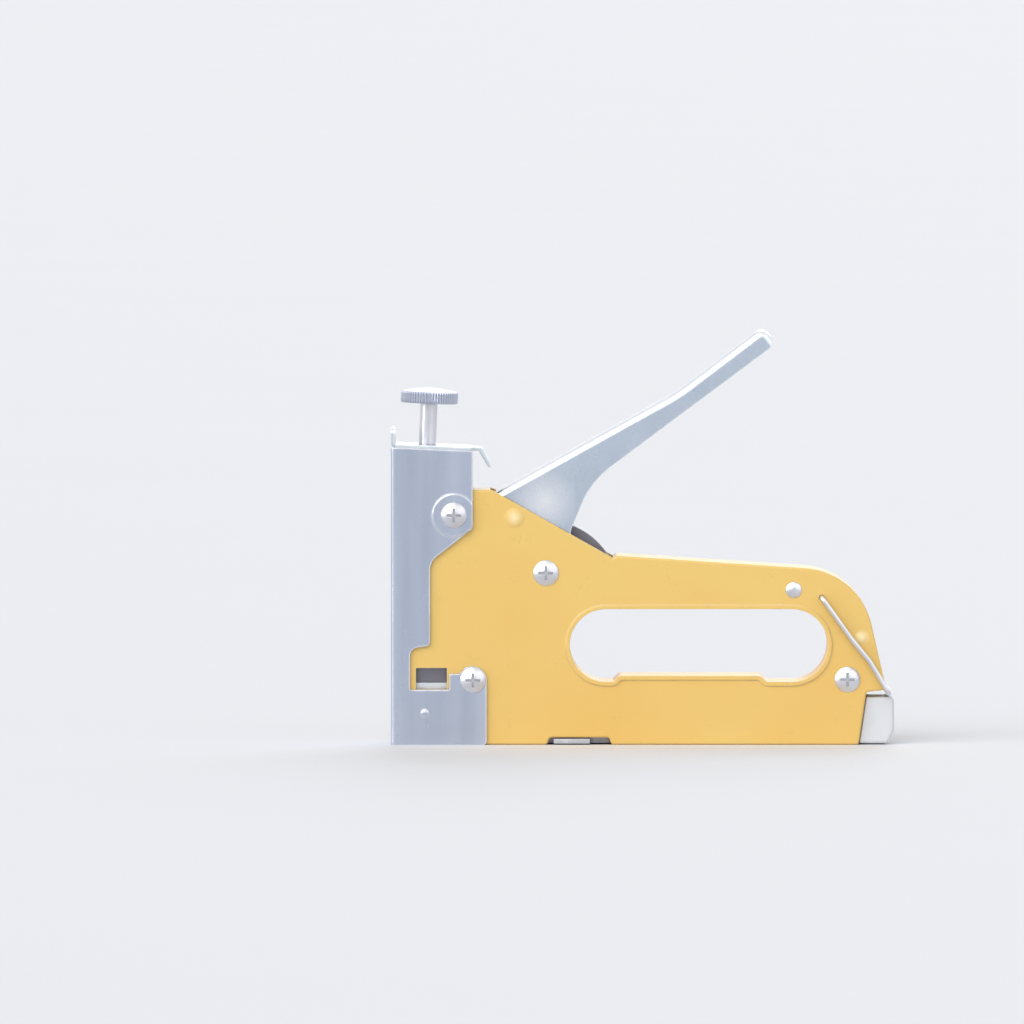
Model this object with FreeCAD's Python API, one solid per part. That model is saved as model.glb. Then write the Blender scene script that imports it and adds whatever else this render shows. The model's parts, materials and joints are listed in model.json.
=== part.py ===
import FreeCAD, Part
import math
import os

# Upholstery stapler, in millimetres and degrees.
# X runs from the nose to the rear of the handle, Y across the body with the left side at negative Y,
# and Z up from the work surface. The origin is where a staple leaves the nose.
# A run or a setback is a distance along X, and a rise or a drop one along Z, from the place it is added to.
os.makedirs("parts", exist_ok=True)
V = FreeCAD.Vector
ORIGIN = V(0, 0, 0)
ALONG_X = V(1, 0, 0)
ALONG_Y = V(0, 1, 0)
ALONG_Z = V(0, 0, 1)

# Clearances, cutting allowance, and the share of a half round that leaves a short straight beside it
moving_gap = 0.3
slide_gap = 0.15
running_fit = 0.05
close_fit = 0.1
overrun = 6.0
round_end_share = 0.97

# Body shells
shell_half_width = 11.0
shell_sheet = 1.0
shell_seam = 0.1
shell_edge_radius = 0.75
shell_front_x = 3.0
small_corner = 1.0
body_top_rise = 27.5
slant_start_run = 6.4
slant_top_radius = 5.0
slant_end_run = 22.1
slant_end_rise = 16.9
handle_start_run = 1.1
handle_start_rise = 0.8
handle_corner_run = 10.4
handle_corner_rise = 12.4
handle_corner_radius = 24.0
tail_run = 19.4
tail_rise = 2.2
tail_notch_run = 12.8
tail_notch_rise = 1.5
rear_foot_run = 10.2
foot_notch_front_x = 49.5
foot_notch_rear_x = 71.0
foot_notch_height = 2.4
spring_way_run = 7.5
lever_slot_setback = 18.4

# Finger opening
opening_front_run = 7.9
opening_length = 85.2
opening_floor_rise = 4.9
opening_height = 24.0
opening_round_share = 0.992
grip_front_run = 2.5
grip_rear_setback = 8.4
grip_rise = 2.0
opening_rim_width = 1.5
opening_rim_height = 0.5
raised_edge_share = 0.75

# Window near the nose and the two pressed marks of the shells
window_front_x = 6.3
window_rear_x = 16.5
window_rise = 2.3
window_height = 7.1
dimple_radius = 3.4
dimple_height = 0.6
bump_run = 10.8
bump_rise = 14.3
bump_radius = 2.0
bump_height = 0.5

# Nose cover and the plates at its front and top
nose_front_x = -2.0
nose_sheet = 0.9
nose_bend_radius = 1.35
nose_gap = 0.1
nose_rear_x = 25.0
nose_top_rise = 14.0
nose_top_fall = 1.15
nose_cut_x = 10.9
nose_cut_top_drop = 12.7
nose_cut_slope_drop = 11.0
nose_cut_radius = 6.0
nose_cut_low_radius = 1.5
nose_cut_bottom_rise = 0.8
nose_lip_setback = 2.0
nose_lip_rise = 6.6
nose_lip_radius = 3.0
nose_ear_run = 0.8
nose_ear_radius = 4.5
nose_ear_crest_setback = 2.2
nose_ear_root_setback = 4.3
nose_ear_drop = 2.4
nose_pad_radius = 7.2
nose_pad_height = 0.5
nose_dimple_x = 9.2
nose_dimple_z = 10.6
nose_dimple_radius = 1.3
nose_dimple_height = 0.5
tab_width_share = 0.6
tab_rise = 6.3
tab_corner = 2.0
guide_sheet = 0.6
guide_width_share = 0.9
top_sheet = 1.1
top_tail_run = 3.1
top_tail_end_run = 6.2
top_tail_drop = 5.5
top_tail_width_share = 0.5
top_tail_bend = 1.2

# Power adjuster, square to the sloping top plate
adjuster_x = 10.0
screw_radius = 2.85
knob_clearance = 7.7
screw_down = 6.5
nut_radius = 6.0
nut_length = 5.0
nut_neck_radius = 4.2
knob_radius = 9.5
knob_thickness = 4.0
knob_crown = 1.1
knob_edge = 0.7
adjuster_travel = 6.0
seat_radius = 6.2
seat_thickness = 1.5
seat_boss_radius = 3.3
seat_boss_height = 4.0

# Fasteners through the body
head_radius = 4.3
head_height = 1.7
shank_radius = 2.0
recess_width = 0.8
recess_length = 4.6
recess_depth = 0.9
nut_sides = 6
nut_flats = 7.0
nut_height = 2.2
nut_corner_height = 0.5
shank_past_nut = 0.6
spacer_radius = 2.8
upper_screw_setback = 6.2
upper_screw_drop = 8.4
lower_screw_x = 25.1
lower_screw_rise = 5.4
rear_screw_run = 6.5
rear_screw_rise = 5.6
rivet_setback = 11.3
rivet_rise = 6.3
rivet_head_radius = 2.7
rivet_head_height = 1.0
rivet_radius = 1.6
rivet_spacer_radius = 2.5
stop_setback = 10.4
stop_rise = 18.1
stop_radius = 1.8

# Lever pivot, above the finger opening
pivot_rise = 11.9
sleeve_radius = 3.2
bush_radius = 4.8
washer_radius = 6.6
washer_thickness = 1.1

# Lever, placed from its pivot
lever_side_gap = 1.5
lever_sheet = 1.2
lever_crown_radius = 2.6
lever_root_setback = 17.0
lever_root_rise = 26.3
lever_chin_setback = 11.2
lever_chin_rise = 23.3
lever_bend_run = 43.2
lever_bend_rise = 59.7
lever_bend_radius = 63.0
lever_tip_run = 71.8
lever_tip_rise = 81.4
lever_tip_width = 7.0
lever_throat_run = 14.8
lever_throat_rise = 30.2
lever_throat_radius = 30.0
lever_neck_rise = 13.7
lever_hub_radius = 8.1
lever_front_rise = 12.2
lever_front_offset = 3.1
lever_front_radius = 3.0
lever_lean = 7.6
lever_web_end_rise = 24.2
lever_travel = 38.0

# Lifting arm between the lever's cheeks, placed from the pivot
arm_thickness_share = 0.23
arm_length = 31.0
arm_reach_share = 0.9677
arm_start_angle = 26.0
arm_tip_radius = 2.0
arm_knee_run = 3.2
arm_shoulder_setback = 8.2
arm_shoulder_rise = 7.7
arm_hub_radius = 8.5
arm_waist_radius = 6.0
heel_front_setback = 1.7
heel_front_rise = 17.5
heel_crest_run = 15.4
heel_crest_rise = 14.9
heel_radius = 23.8
heel_end_run = 21.5
heel_end_rise = 3.9
heel_under_run = 15.3
heel_under_drop = 3.8
lever_rivet_run = 5.6
lever_rivet_rise = 9.6
lever_rivet_radius = 1.5
lever_rivet_head = 2.4
lever_rivet_head_height = 0.6

# Driver
blade_thickness = 0.7
blade_width_share = 0.56
blade_bottom_z = 0.4
hammer_height = 10.0
hammer_pin_rise = 5.1
hammer_rear_x = 15.6
hammer_edge = 0.8
hammer_boss_height = 4.0
hammer_skirt_sheet = 1.0
hammer_skirt_clearance = 1.4
lift_pin_run = 3.6
lift_pin_radius = 1.6
lift_ear_radius = 2.8
blade_rivet_radius = 1.0
blade_rivet_depth = 4.0
blade_rivet_low_share = 0.28
blade_rivet_high_share = 0.72

# Springs: wire diameter, mean radius and number of turns
main_wire = 1.8
main_spring_radius = 4.9
main_spring_turns = 5.5
return_wire_share = 0.2
return_spring_radius = 5.95
return_spring_loops = 2
return_leg_rest_run = 10.9
return_leg_length = 14.0
follower_wire = 0.7
follower_spring_share = 0.67
follower_spring_turns = 34.0
closed_turns = 1.0
least_coil_gap = 0.45

# Magazine
channel_width_share = 0.68
channel_sheet = 1.0
channel_top_z = 16.0
channel_bottom_z = 0.4
channel_rear_setback = 1.5
channel_foot_run = 2.3
channel_foot_setback = 7.3
channel_foot_side_setback = 0.4
channel_foot_thickness = 1.6
rail_width_share = 0.81
rail_sheet = 0.8
rail_drop = 2.4
rail_bottom_z = 0.7
rail_slot_half_width = 1.2
rail_slot_front_x = 3.0
rod_share = 0.38
rod_height_share = 0.515
follower_length = 11.0
follower_leg_bottom_z = 3.0
follower_hub_share = 0.8
plug_length = 9.5
plug_bottom_z = 2.6
cap_side_setback = 1.4
cap_length = 11.7
cap_top_drop = 0.2
cap_chamfer_run = 2.2
cap_chamfer_z = 4.6
cap_corner = 1.0
cap_top_corner = 1.5
cap_pin_run = 4.5
cap_pin_height_share = 0.6
cap_pin_radius = 1.0
cap_pin_side_wall = 2.6
bracket_sheet = 1.0
bracket_bottom_z = 3.5
bracket_ear_radius = 4.6
front_bracket_x = 4.0
front_bracket_rear_run = 5.2
front_bracket_bar_rise = 4.4
front_bracket_step_setback = 7.5
rear_bracket_setback = 5.2
rear_bracket_run = 3.5
rear_bracket_corner = 3.0

# Wire bail, from its pivot at the rear of the handle to its bar behind the tail
bail_wire_radius = 0.85
bail_side_gap = 0.8
bail_pivot_setback = 2.0
bail_pivot_rise = 3.8
bail_bar_run = 0.7
bail_bar_rise = 1.3
bail_elbow_run_share = 0.448
bail_elbow_drop_share = 0.4367
bail_knee_run_share = 0.7104
bail_knee_drop_share = 0.6614
bail_hook_inside = 1.2
bail_bend_radius = 1.7

# Widths that follow from the body's width
shell_inside = shell_half_width - shell_sheet
nose_inside = shell_half_width + nose_gap
nose_half_width = nose_inside + nose_sheet
tab_half_width = shell_inside * tab_width_share
guide_half_width = shell_inside * guide_width_share
top_tail_half_width = shell_half_width * top_tail_width_share
cheek_outside = shell_inside - lever_side_gap
cheek_inside = cheek_outside - lever_sheet
arm_half_thickness = shell_inside * arm_thickness_share
blade_half_width = shell_inside * blade_width_share
lift_slot_half_width = arm_half_thickness + moving_gap
return_wire = (cheek_inside - arm_half_thickness) * return_wire_share
channel_half_width = shell_inside * channel_width_share
hammer_half_width = channel_half_width - moving_gap
channel_inside = channel_half_width - channel_sheet
channel_foot_half_width = shell_half_width - channel_foot_side_setback
bracket_half_width = channel_half_width + bracket_sheet
rail_half_width = channel_inside * rail_width_share
rail_inside = rail_half_width - rail_sheet
rod_radius = rail_inside * rod_share
follower_hub_radius = rail_inside * follower_hub_share
follower_spring_radius = rail_inside * follower_spring_share
follower_half_width = channel_inside - slide_gap
cap_half_width = shell_half_width - cap_side_setback
cap_pin_half_length = cap_half_width - cap_pin_side_wall
bail_half_width = shell_half_width + bail_side_gap + bail_wire_radius

# Heights, from the magazine up to the lever
opening_bottom_z = channel_top_z + opening_floor_rise
opening_top_z = opening_bottom_z + opening_height
opening_end_radius = opening_height / 2 * opening_round_share
pivot_z = opening_top_z + pivot_rise
slant_end_z = opening_top_z + slant_end_rise
handle_start_z = slant_end_z + handle_start_rise
handle_corner_z = opening_top_z + handle_corner_rise
body_top_z = pivot_z + body_top_rise
tail_z = channel_top_z + tail_rise
tail_notch_z = channel_top_z + tail_notch_rise
bump_z = opening_bottom_z + bump_rise
window_bottom_z = channel_top_z + window_rise
window_top_z = window_bottom_z + window_height
nose_top_front_z = body_top_z + nose_top_rise
nose_top_rear_z = nose_top_front_z - nose_top_fall
tab_top_z = nose_top_front_z + tab_rise
top_tail_end_z = nose_top_rear_z - top_tail_drop
nose_cut_top_z = body_top_z - nose_cut_top_drop
nose_cut_slope_z = nose_cut_top_z - nose_cut_slope_drop
nose_lip_bottom_z = window_bottom_z - close_fit
nose_lip_top_z = window_top_z + nose_lip_rise
nose_cut_bottom_z = nose_lip_top_z + nose_cut_bottom_rise
upper_screw_z = body_top_z - upper_screw_drop
lower_screw_z = channel_top_z + lower_screw_rise
nose_ear_top_z = lower_screw_z + nose_ear_radius
nose_ear_low_z = nose_ear_top_z - nose_ear_drop
rear_screw_z = channel_top_z + rear_screw_rise
rivet_z = opening_top_z + rivet_rise
stop_z = pivot_z + stop_rise
lever_root_z = pivot_z + lever_root_rise
lever_chin_z = pivot_z + lever_chin_rise
lever_bend_z = pivot_z + lever_bend_rise
lever_tip_z = pivot_z + lever_tip_rise
lever_throat_z = pivot_z + lever_throat_rise
lever_neck_z = pivot_z + lever_neck_rise
lever_front_z = pivot_z + lever_front_rise
lever_web_end_z = pivot_z + lever_web_end_rise
arm_shoulder_z = pivot_z + arm_shoulder_rise
heel_front_z = pivot_z + heel_front_rise
heel_crest_z = pivot_z + heel_crest_rise
heel_end_z = pivot_z + heel_end_rise
heel_under_z = pivot_z - heel_under_drop
lever_rivet_z = pivot_z + lever_rivet_rise
tip_z = pivot_z - arm_length * math.sin(math.radians(arm_start_angle))
lift_pin_z = tip_z + arm_tip_radius + lift_pin_radius + moving_gap
hammer_bottom_z = lift_pin_z - hammer_pin_rise
hammer_top_z = hammer_bottom_z + hammer_height
hammer_skirt_bottom_z = channel_top_z + bracket_sheet + hammer_skirt_clearance
rail_top_z = channel_top_z - rail_drop
rod_z = rail_top_z * rod_height_share
cap_top_z = channel_top_z - cap_top_drop
cap_pin_z = channel_top_z * cap_pin_height_share
front_bracket_bar_z = channel_top_z + front_bracket_bar_rise
bail_pivot_z = opening_top_z + bail_pivot_rise
bail_bar_z = cap_top_z + bail_bar_rise
bail_drop = bail_pivot_z - bail_bar_z
bail_elbow_z = bail_pivot_z - bail_drop * bail_elbow_drop_share
bail_knee_z = bail_pivot_z - bail_drop * bail_knee_drop_share

# Places along the body, from the nose over the driver and the pivot to the tail
guide_front_x = nose_front_x + nose_sheet
guide_rear_x = guide_front_x + guide_sheet
blade_front_x = guide_rear_x + slide_gap
blade_rear_x = blade_front_x + blade_thickness
magazine_front_x = blade_rear_x + moving_gap
nose_top_run = nose_rear_x - nose_front_x
nose_foot_x = lower_screw_x + nose_ear_radius
nose_lip_x = window_front_x - nose_lip_setback
nose_ear_x = window_rear_x + nose_ear_run
nose_ear_crest_x = lower_screw_x - nose_ear_crest_setback
nose_ear_root_x = lower_screw_x - nose_ear_root_setback
hammer_skirt_rear_x = window_rear_x + moving_gap
upper_screw_x = nose_rear_x - upper_screw_setback
top_tail_x = nose_rear_x + top_tail_run
top_tail_end_x = nose_rear_x + top_tail_end_run
slant_start_x = nose_rear_x + slant_start_run
spring_way_rear_x = adjuster_x + spring_way_run
lift_pin_x = hammer_rear_x + lift_pin_run
pivot_x = lift_pin_x + arm_length * arm_reach_share
slant_end_x = pivot_x + slant_end_run
handle_start_x = slant_end_x + handle_start_run
lever_slot_front_x = pivot_x - lever_slot_setback
stop_x = pivot_x - stop_setback
lever_root_x = pivot_x - lever_root_setback
lever_chin_x = pivot_x - lever_chin_setback
lever_bend_x = pivot_x + lever_bend_run
lever_tip_x = pivot_x + lever_tip_run
lever_throat_x = pivot_x + lever_throat_run
tip_x = pivot_x - arm_length * math.cos(math.radians(arm_start_angle))
arm_knee_x = tip_x + arm_knee_run
arm_shoulder_x = pivot_x - arm_shoulder_setback
heel_front_x = pivot_x - heel_front_setback
heel_crest_x = pivot_x + heel_crest_run
heel_end_x = pivot_x + heel_end_run
heel_under_x = pivot_x + heel_under_run
lever_rivet_x = pivot_x + lever_rivet_run
opening_front_x = pivot_x + opening_front_run
opening_rear_x = opening_front_x + opening_length
grip_front_x = opening_front_x + opening_end_radius + grip_front_run
grip_rear_x = opening_rear_x - opening_end_radius - grip_rear_setback
return_leg_rest_x = opening_front_x + return_leg_rest_run
handle_corner_x = opening_rear_x + handle_corner_run
tail_x = opening_rear_x + tail_run
tail_notch_x = opening_rear_x + tail_notch_run
rear_foot_x = opening_rear_x + rear_foot_run
bump_x = opening_rear_x + bump_run
rear_screw_x = opening_rear_x + rear_screw_run
rivet_x = opening_rear_x - rivet_setback
channel_foot_front_x = foot_notch_front_x + channel_foot_run
channel_foot_rear_x = foot_notch_rear_x - channel_foot_setback
channel_rear_x = rear_foot_x - channel_rear_setback
plug_front_x = rear_foot_x - plug_length
cap_rear_x = rear_foot_x + cap_length
cap_chamfer_x = cap_rear_x - cap_chamfer_run
cap_pin_x = rear_foot_x + cap_pin_run
front_bracket_rear_x = lower_screw_x + front_bracket_rear_run
front_bracket_step_x = lower_screw_x - front_bracket_step_setback
rear_bracket_x = rear_screw_x - rear_bracket_setback
rear_bracket_rear_x = rear_screw_x + rear_bracket_run
bail_pivot_x = opening_rear_x - bail_pivot_setback
bail_bar_x = tail_x + bail_bar_run
bail_run = bail_bar_x - bail_pivot_x
bail_elbow_x = bail_pivot_x + bail_run * bail_elbow_run_share
bail_knee_x = bail_pivot_x + bail_run * bail_knee_run_share

# Slope of the nose's top, travel of the screw's knob end, and lift of the driver
adjuster_tilt = math.degrees(math.atan2(nose_top_fall, nose_top_run))
screw_up = adjuster_travel + knob_clearance
driver_travel = arm_length * (
    math.sin(math.radians(lever_travel - arm_start_angle)) + math.sin(math.radians(arm_start_angle)))

def nose_top_z(x):
    """Height of the nose's sloping top edge."""
    return nose_top_front_z - nose_top_fall * (x - nose_front_x) / nose_top_run


def rounded_face(corners):
    """Face in the XZ plane through (x, z, radius) corners."""
    count = len(corners)
    starts = []
    edges = []
    for index in range(count):
        x, z, radius = corners[index]
        here = V(x, 0, z)
        before = corners[index - 1]
        after = corners[(index + 1) % count]
        to_before = (V(before[0], 0, before[1]) - here).normalize()
        to_after = (V(after[0], 0, after[1]) - here).normalize()
        half_angle = to_before.getAngle(to_after) / 2
        reach = radius / math.tan(half_angle)
        middle = (to_before + to_after).normalize()
        bulge = radius / math.sin(half_angle) - radius
        starts.append((here + to_before * reach, here + middle * bulge, here + to_after * reach))
    for index in range(count):
        arc_start, arc_middle, arc_end = starts[index]
        next_start = starts[(index + 1) % count][0]
        if corners[index][2] > 0:
            edges.append(Part.Arc(arc_start, arc_middle, arc_end).toShape())
        if not arc_end.isEqual(next_start, running_fit / 1000):
            edges.append(Part.makeLine(arc_end, next_start))
    return Part.Face(Part.Wire(edges))


def radius_for_reach(before, here, after, reach):
    """Radius of the round corner between three (x, z) places that starts at a set distance from it."""
    corner = V(here[0], 0, here[1])
    to_before = V(before[0], 0, before[1]) - corner
    to_after = V(after[0], 0, after[1]) - corner
    return reach * math.tan(to_before.getAngle(to_after) / 2)


def slab(face, from_y, to_y):
    """Solid between two distances across the body."""
    low = min(from_y, to_y)
    moved = face.copy()
    moved.translate(V(0, low, 0))
    return moved.extrude(V(0, max(from_y, to_y) - low, 0))


def block(x_range, y_range, z_range):
    """Box between pairs of limits."""
    low = V(min(x_range), min(y_range), min(z_range))
    high = V(max(x_range), max(y_range), max(z_range))
    size = high - low
    return Part.makeBox(size.x, size.y, size.z, low)


def cross_pin(x, z, radius, from_y, to_y):
    """Cylinder that lies across the body."""
    low = min(from_y, to_y)
    return Part.makeCylinder(radius, max(from_y, to_y) - low, V(x, low, z), ALONG_Y)


def cross_tube(x, z, bore, radius, from_y, to_y):
    """Tube that lies across the body."""
    middle = (from_y + to_y) / 2
    half = abs(to_y - from_y) / 2
    outside = cross_pin(x, z, radius, middle - half, middle + half)
    return outside.cut(cross_pin(x, z, bore, middle - half - overrun, middle + half + overrun))


def dome(x, z, side, base_y, radius, height):
    """Shallow cap of a sphere that rises from a base plane on one side."""
    sphere_radius = (radius ** 2 + height ** 2) / (2 * height)
    centre_y = side * (base_y + height - sphere_radius)
    sphere = Part.makeSphere(sphere_radius, V(x, centre_y, z))
    return sphere.common(cross_pin(x, z, radius + overrun, side * base_y, side * (base_y + overrun)))


def rounded(shape, radius, chosen):
    """Fillet on the edges that a test picks."""
    return shape.makeFillet(radius, [edge for edge in shape.Edges if chosen(edge)])


def chamfered(shape, size, chosen):
    """Chamfer on the edges that a test picks."""
    return shape.makeChamfer(size, [edge for edge in shape.Edges if chosen(edge)])


def lies_at_y(edge, distance):
    """True for an edge that lies wholly at one distance across the body."""
    box = edge.BoundBox
    return abs(box.YMin - distance) < running_fit and abs(box.YMax - distance) < running_fit


def group(solids):
    """Several separate solids in one shape."""
    return Part.makeCompound(solids)


def body_outline():
    """Side view of a body shell."""
    return rounded_face([
        (shell_front_x, 0, small_corner),
        (foot_notch_front_x, 0, small_corner),
        (foot_notch_front_x + small_corner, foot_notch_height, small_corner),
        (foot_notch_rear_x - small_corner, foot_notch_height, small_corner),
        (foot_notch_rear_x, 0, small_corner),
        (rear_foot_x, 0, small_corner),
        (tail_notch_x, tail_notch_z, small_corner),
        (tail_x, tail_z, small_corner),
        (handle_corner_x, handle_corner_z, handle_corner_radius),
        (handle_start_x, handle_start_z, 0),
        (slant_end_x, slant_end_z, 0),
        (slant_start_x, body_top_z, slant_top_radius),
        (shell_front_x, body_top_z, small_corner),
    ])


def opening_outline():
    """Side view of the finger opening, whose lower edge rises under the fingers."""
    raised_z = opening_bottom_z + grip_rise
    return rounded_face([
        (opening_front_x, opening_top_z, opening_end_radius),
        (opening_rear_x, opening_top_z, opening_end_radius),
        (opening_rear_x, opening_bottom_z, opening_end_radius),
        (grip_rear_x, opening_bottom_z, grip_rise),
        (grip_rear_x - grip_rise, raised_z, grip_rise),
        (grip_front_x + grip_rise, raised_z, grip_rise),
        (grip_front_x, opening_bottom_z, grip_rise / 2),
        (opening_front_x, opening_bottom_z, opening_end_radius),
    ])


def shell(side):
    """One pressed steel half of the body, with flanges turned in to the seam."""
    outline = body_outline()
    opening = opening_outline()
    solid = slab(outline, side * shell_seam, side * shell_half_width)
    solid = rounded(solid, shell_edge_radius, lambda edge: lies_at_y(edge, side * shell_half_width))
    rim = slab(opening.makeOffset2D(opening_rim_width), side * shell_inside,
               side * (shell_half_width + opening_rim_height))
    rim = rounded(rim, opening_rim_height * raised_edge_share,
                  lambda edge: lies_at_y(edge, side * (shell_half_width + opening_rim_height)))
    solid = solid.fuse(rim)
    inside = outline.makeOffset2D(-shell_sheet).cut(opening.makeOffset2D(shell_sheet))
    solid = solid.cut(slab(inside, 0, side * shell_inside))
    solid = solid.cut(slab(opening, side * -overrun, side * (shell_half_width + overrun)))
    top = body_top_z + overrun
    wide = (0, side * shell_inside)
    channel_way = channel_half_width + moving_gap
    bracket_way = bracket_half_width + moving_gap
    flange_top = foot_notch_height + shell_sheet * 2
    for cutter in (
            block((-overrun, shell_front_x + shell_sheet * 2), wide, (-overrun, top)),
            block((-overrun, spring_way_rear_x), wide, (slant_end_z - overrun, top)),
            block((lever_slot_front_x, slant_end_x), wide, (slant_end_z - overrun, top)),
            block((-overrun, foot_notch_rear_x), (0, side * bracket_way), (-overrun, flange_top)),
            block((-overrun, tail_notch_x + overrun), (0, side * channel_way), (-overrun, flange_top)),
            block((rear_foot_x - overrun, tail_notch_x + overrun), (0, side * bracket_way),
                  (-overrun, channel_top_z + bracket_sheet)),
            block((window_front_x, window_rear_x), (0, side * (shell_half_width + overrun)),
                  (window_bottom_z, window_top_z))):
        solid = solid.cut(cutter)
    marks = [
        dome(stop_x, stop_z, side, shell_half_width, dimple_radius, dimple_height),
        dome(bump_x, bump_z, side, shell_half_width, bump_radius, bump_height),
    ]
    solid = solid.fuse(marks)
    holes = [(x, z, shank_radius + close_fit) for x, z in screw_places()]
    holes.append((rivet_x, rivet_z, rivet_radius + close_fit))
    holes.append((bail_pivot_x, bail_pivot_z, bail_wire_radius + close_fit))
    for x, z, radius in holes:
        solid = solid.cut(cross_pin(x, z, radius, 0, side * (shell_half_width + overrun)))
    return solid.removeSplitter()


def screw_places():
    """Where screws pass through the body: the two nose screws, the pivot and the rear screw."""
    return [
        (upper_screw_x, upper_screw_z),
        (lower_screw_x, lower_screw_z),
        (pivot_x, pivot_z),
        (rear_screw_x, rear_screw_z),
    ]


def screw(x, z, seat_y):
    """Machine screw with a domed cross-recess head on the left and its end past the nut on the right."""
    head = dome(x, z, -1, seat_y, head_radius, head_height)
    face_y = -(seat_y + head_height)
    half_length = recess_length / 2
    half_width = recess_width / 2
    deep = (face_y - overrun, face_y + recess_depth)
    head = head.cut(block((x - half_length, x + half_length), deep, (z - half_width, z + half_width)))
    head = head.cut(block((x - half_width, x + half_width), deep, (z - half_length, z + half_length)))
    shank_end = seat_y + nut_height + shank_past_nut
    shank = cross_pin(x, z, shank_radius, -seat_y, shank_end)
    shank = chamfered(shank, shank_past_nut / 2, lambda edge: lies_at_y(edge, shank_end))
    return head.fuse(shank).removeSplitter()


def hex_nut(x, z, seat_y):
    """Hexagon nut with rounded corners, on the right."""
    corner_radius = nut_flats / 2 / math.cos(math.pi / nut_sides)
    corners = []
    for side in range(nut_sides):
        turn = 2 * math.pi * side / nut_sides
        corners.append((x + corner_radius * math.cos(turn), z + corner_radius * math.sin(turn), 0))
    prism = slab(rounded_face(corners), seat_y, seat_y + nut_height)
    cone_height = corner_radius + nut_height
    cone = Part.makeCone(corner_radius + nut_height - nut_corner_height, 0,
                         cone_height - nut_corner_height, V(x, seat_y, z), ALONG_Y)
    prism = prism.common(cone)
    return prism.cut(cross_pin(x, z, shank_radius, seat_y - overrun, seat_y + overrun))


def nose_outline():
    """Side view of the nose cover."""
    return rounded_face([
        (nose_front_x, 0, 0),
        (nose_foot_x, 0, small_corner),
        (nose_foot_x, nose_ear_top_z, nose_ear_radius),
        (nose_ear_crest_x, nose_ear_top_z, small_corner * 2),
        (nose_ear_root_x, nose_ear_low_z, small_corner / 2),
        (nose_ear_x, nose_ear_low_z, small_corner / 2),
        (nose_ear_x, nose_lip_bottom_z, small_corner / 2),
        (nose_lip_x, nose_lip_bottom_z, small_corner / 2),
        (nose_lip_x, nose_lip_top_z, nose_lip_radius),
        (nose_cut_x, nose_cut_bottom_z, nose_cut_low_radius),
        (nose_cut_x, nose_cut_slope_z, nose_cut_radius),
        (nose_rear_x, nose_cut_top_z, small_corner),
        (nose_rear_x, nose_top_rear_z, 0),
        (nose_front_x, nose_top_front_z, 0),
    ])


def front_tab(front_x, rear_x, base_z):
    """Narrow tab with round corners that stands above the nose."""
    tab = block((front_x, rear_x), (-tab_half_width, tab_half_width), (base_z, tab_top_z))
    return rounded(tab, tab_corner, lambda edge: edge.BoundBox.ZMin > tab_top_z - running_fit
                   and edge.BoundBox.YLength < running_fit)


def nose_cover():
    """Chrome channel over the front of both shells."""
    solid = slab(nose_outline(), -nose_half_width, nose_half_width)
    solid = rounded(solid, nose_bend_radius, lambda edge: edge.BoundBox.XMax < nose_front_x + running_fit
                    and edge.BoundBox.ZLength > nose_lip_top_z)
    hollow = block((guide_front_x, nose_foot_x + overrun), (-nose_inside, nose_inside),
                   (-overrun, tab_top_z + overrun))
    solid = solid.cut(rounded(hollow, nose_bend_radius - nose_sheet, lambda edge: edge.BoundBox.XMax
                              < guide_front_x + running_fit and edge.BoundBox.ZLength > nose_lip_top_z))
    solid = solid.fuse(front_tab(nose_front_x, guide_front_x, nose_lip_top_z))
    for side in (-1, 1):
        pad_y = side * (nose_half_width + nose_pad_height)
        pad = cross_pin(upper_screw_x, upper_screw_z, nose_pad_radius, side * nose_half_width, pad_y)
        pad = rounded(pad, nose_pad_height * raised_edge_share, lambda edge: lies_at_y(edge, pad_y))
        pad = pad.common(slab(nose_outline(), -overrun * 3, overrun * 3))
        solid = solid.fuse(pad)
        solid = solid.fuse(dome(nose_dimple_x, nose_dimple_z, side, nose_half_width,
                                nose_dimple_radius, nose_dimple_height))
    for x, z in ((upper_screw_x, upper_screw_z), (lower_screw_x, lower_screw_z)):
        solid = solid.cut(cross_pin(x, z, shank_radius + close_fit, -overrun * 3, overrun * 3))
    return solid.removeSplitter()


def front_plate():
    """Hardened guide plate behind the nose's front wall, with its tab above."""
    plate = block((guide_front_x, guide_rear_x), (-guide_half_width, guide_half_width),
                  (0, nose_top_rear_z - small_corner))
    return plate.fuse(front_tab(guide_front_x, guide_rear_x, nose_lip_top_z)).removeSplitter()


def on_adjuster(shape):
    """Moves a shape built upright at the origin onto the adjuster's axis, square to the top plate."""
    placed = shape.copy()
    placed.rotate(ORIGIN, ALONG_Y, adjuster_tilt)
    placed.translate(V(adjuster_x, 0, nose_top_z(adjuster_x) + top_sheet))
    return placed


def upright_pin(radius, low, high):
    """Cylinder on the upright axis at the origin."""
    return Part.makeCylinder(radius, high - low, V(0, 0, low), ALONG_Z)


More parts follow.
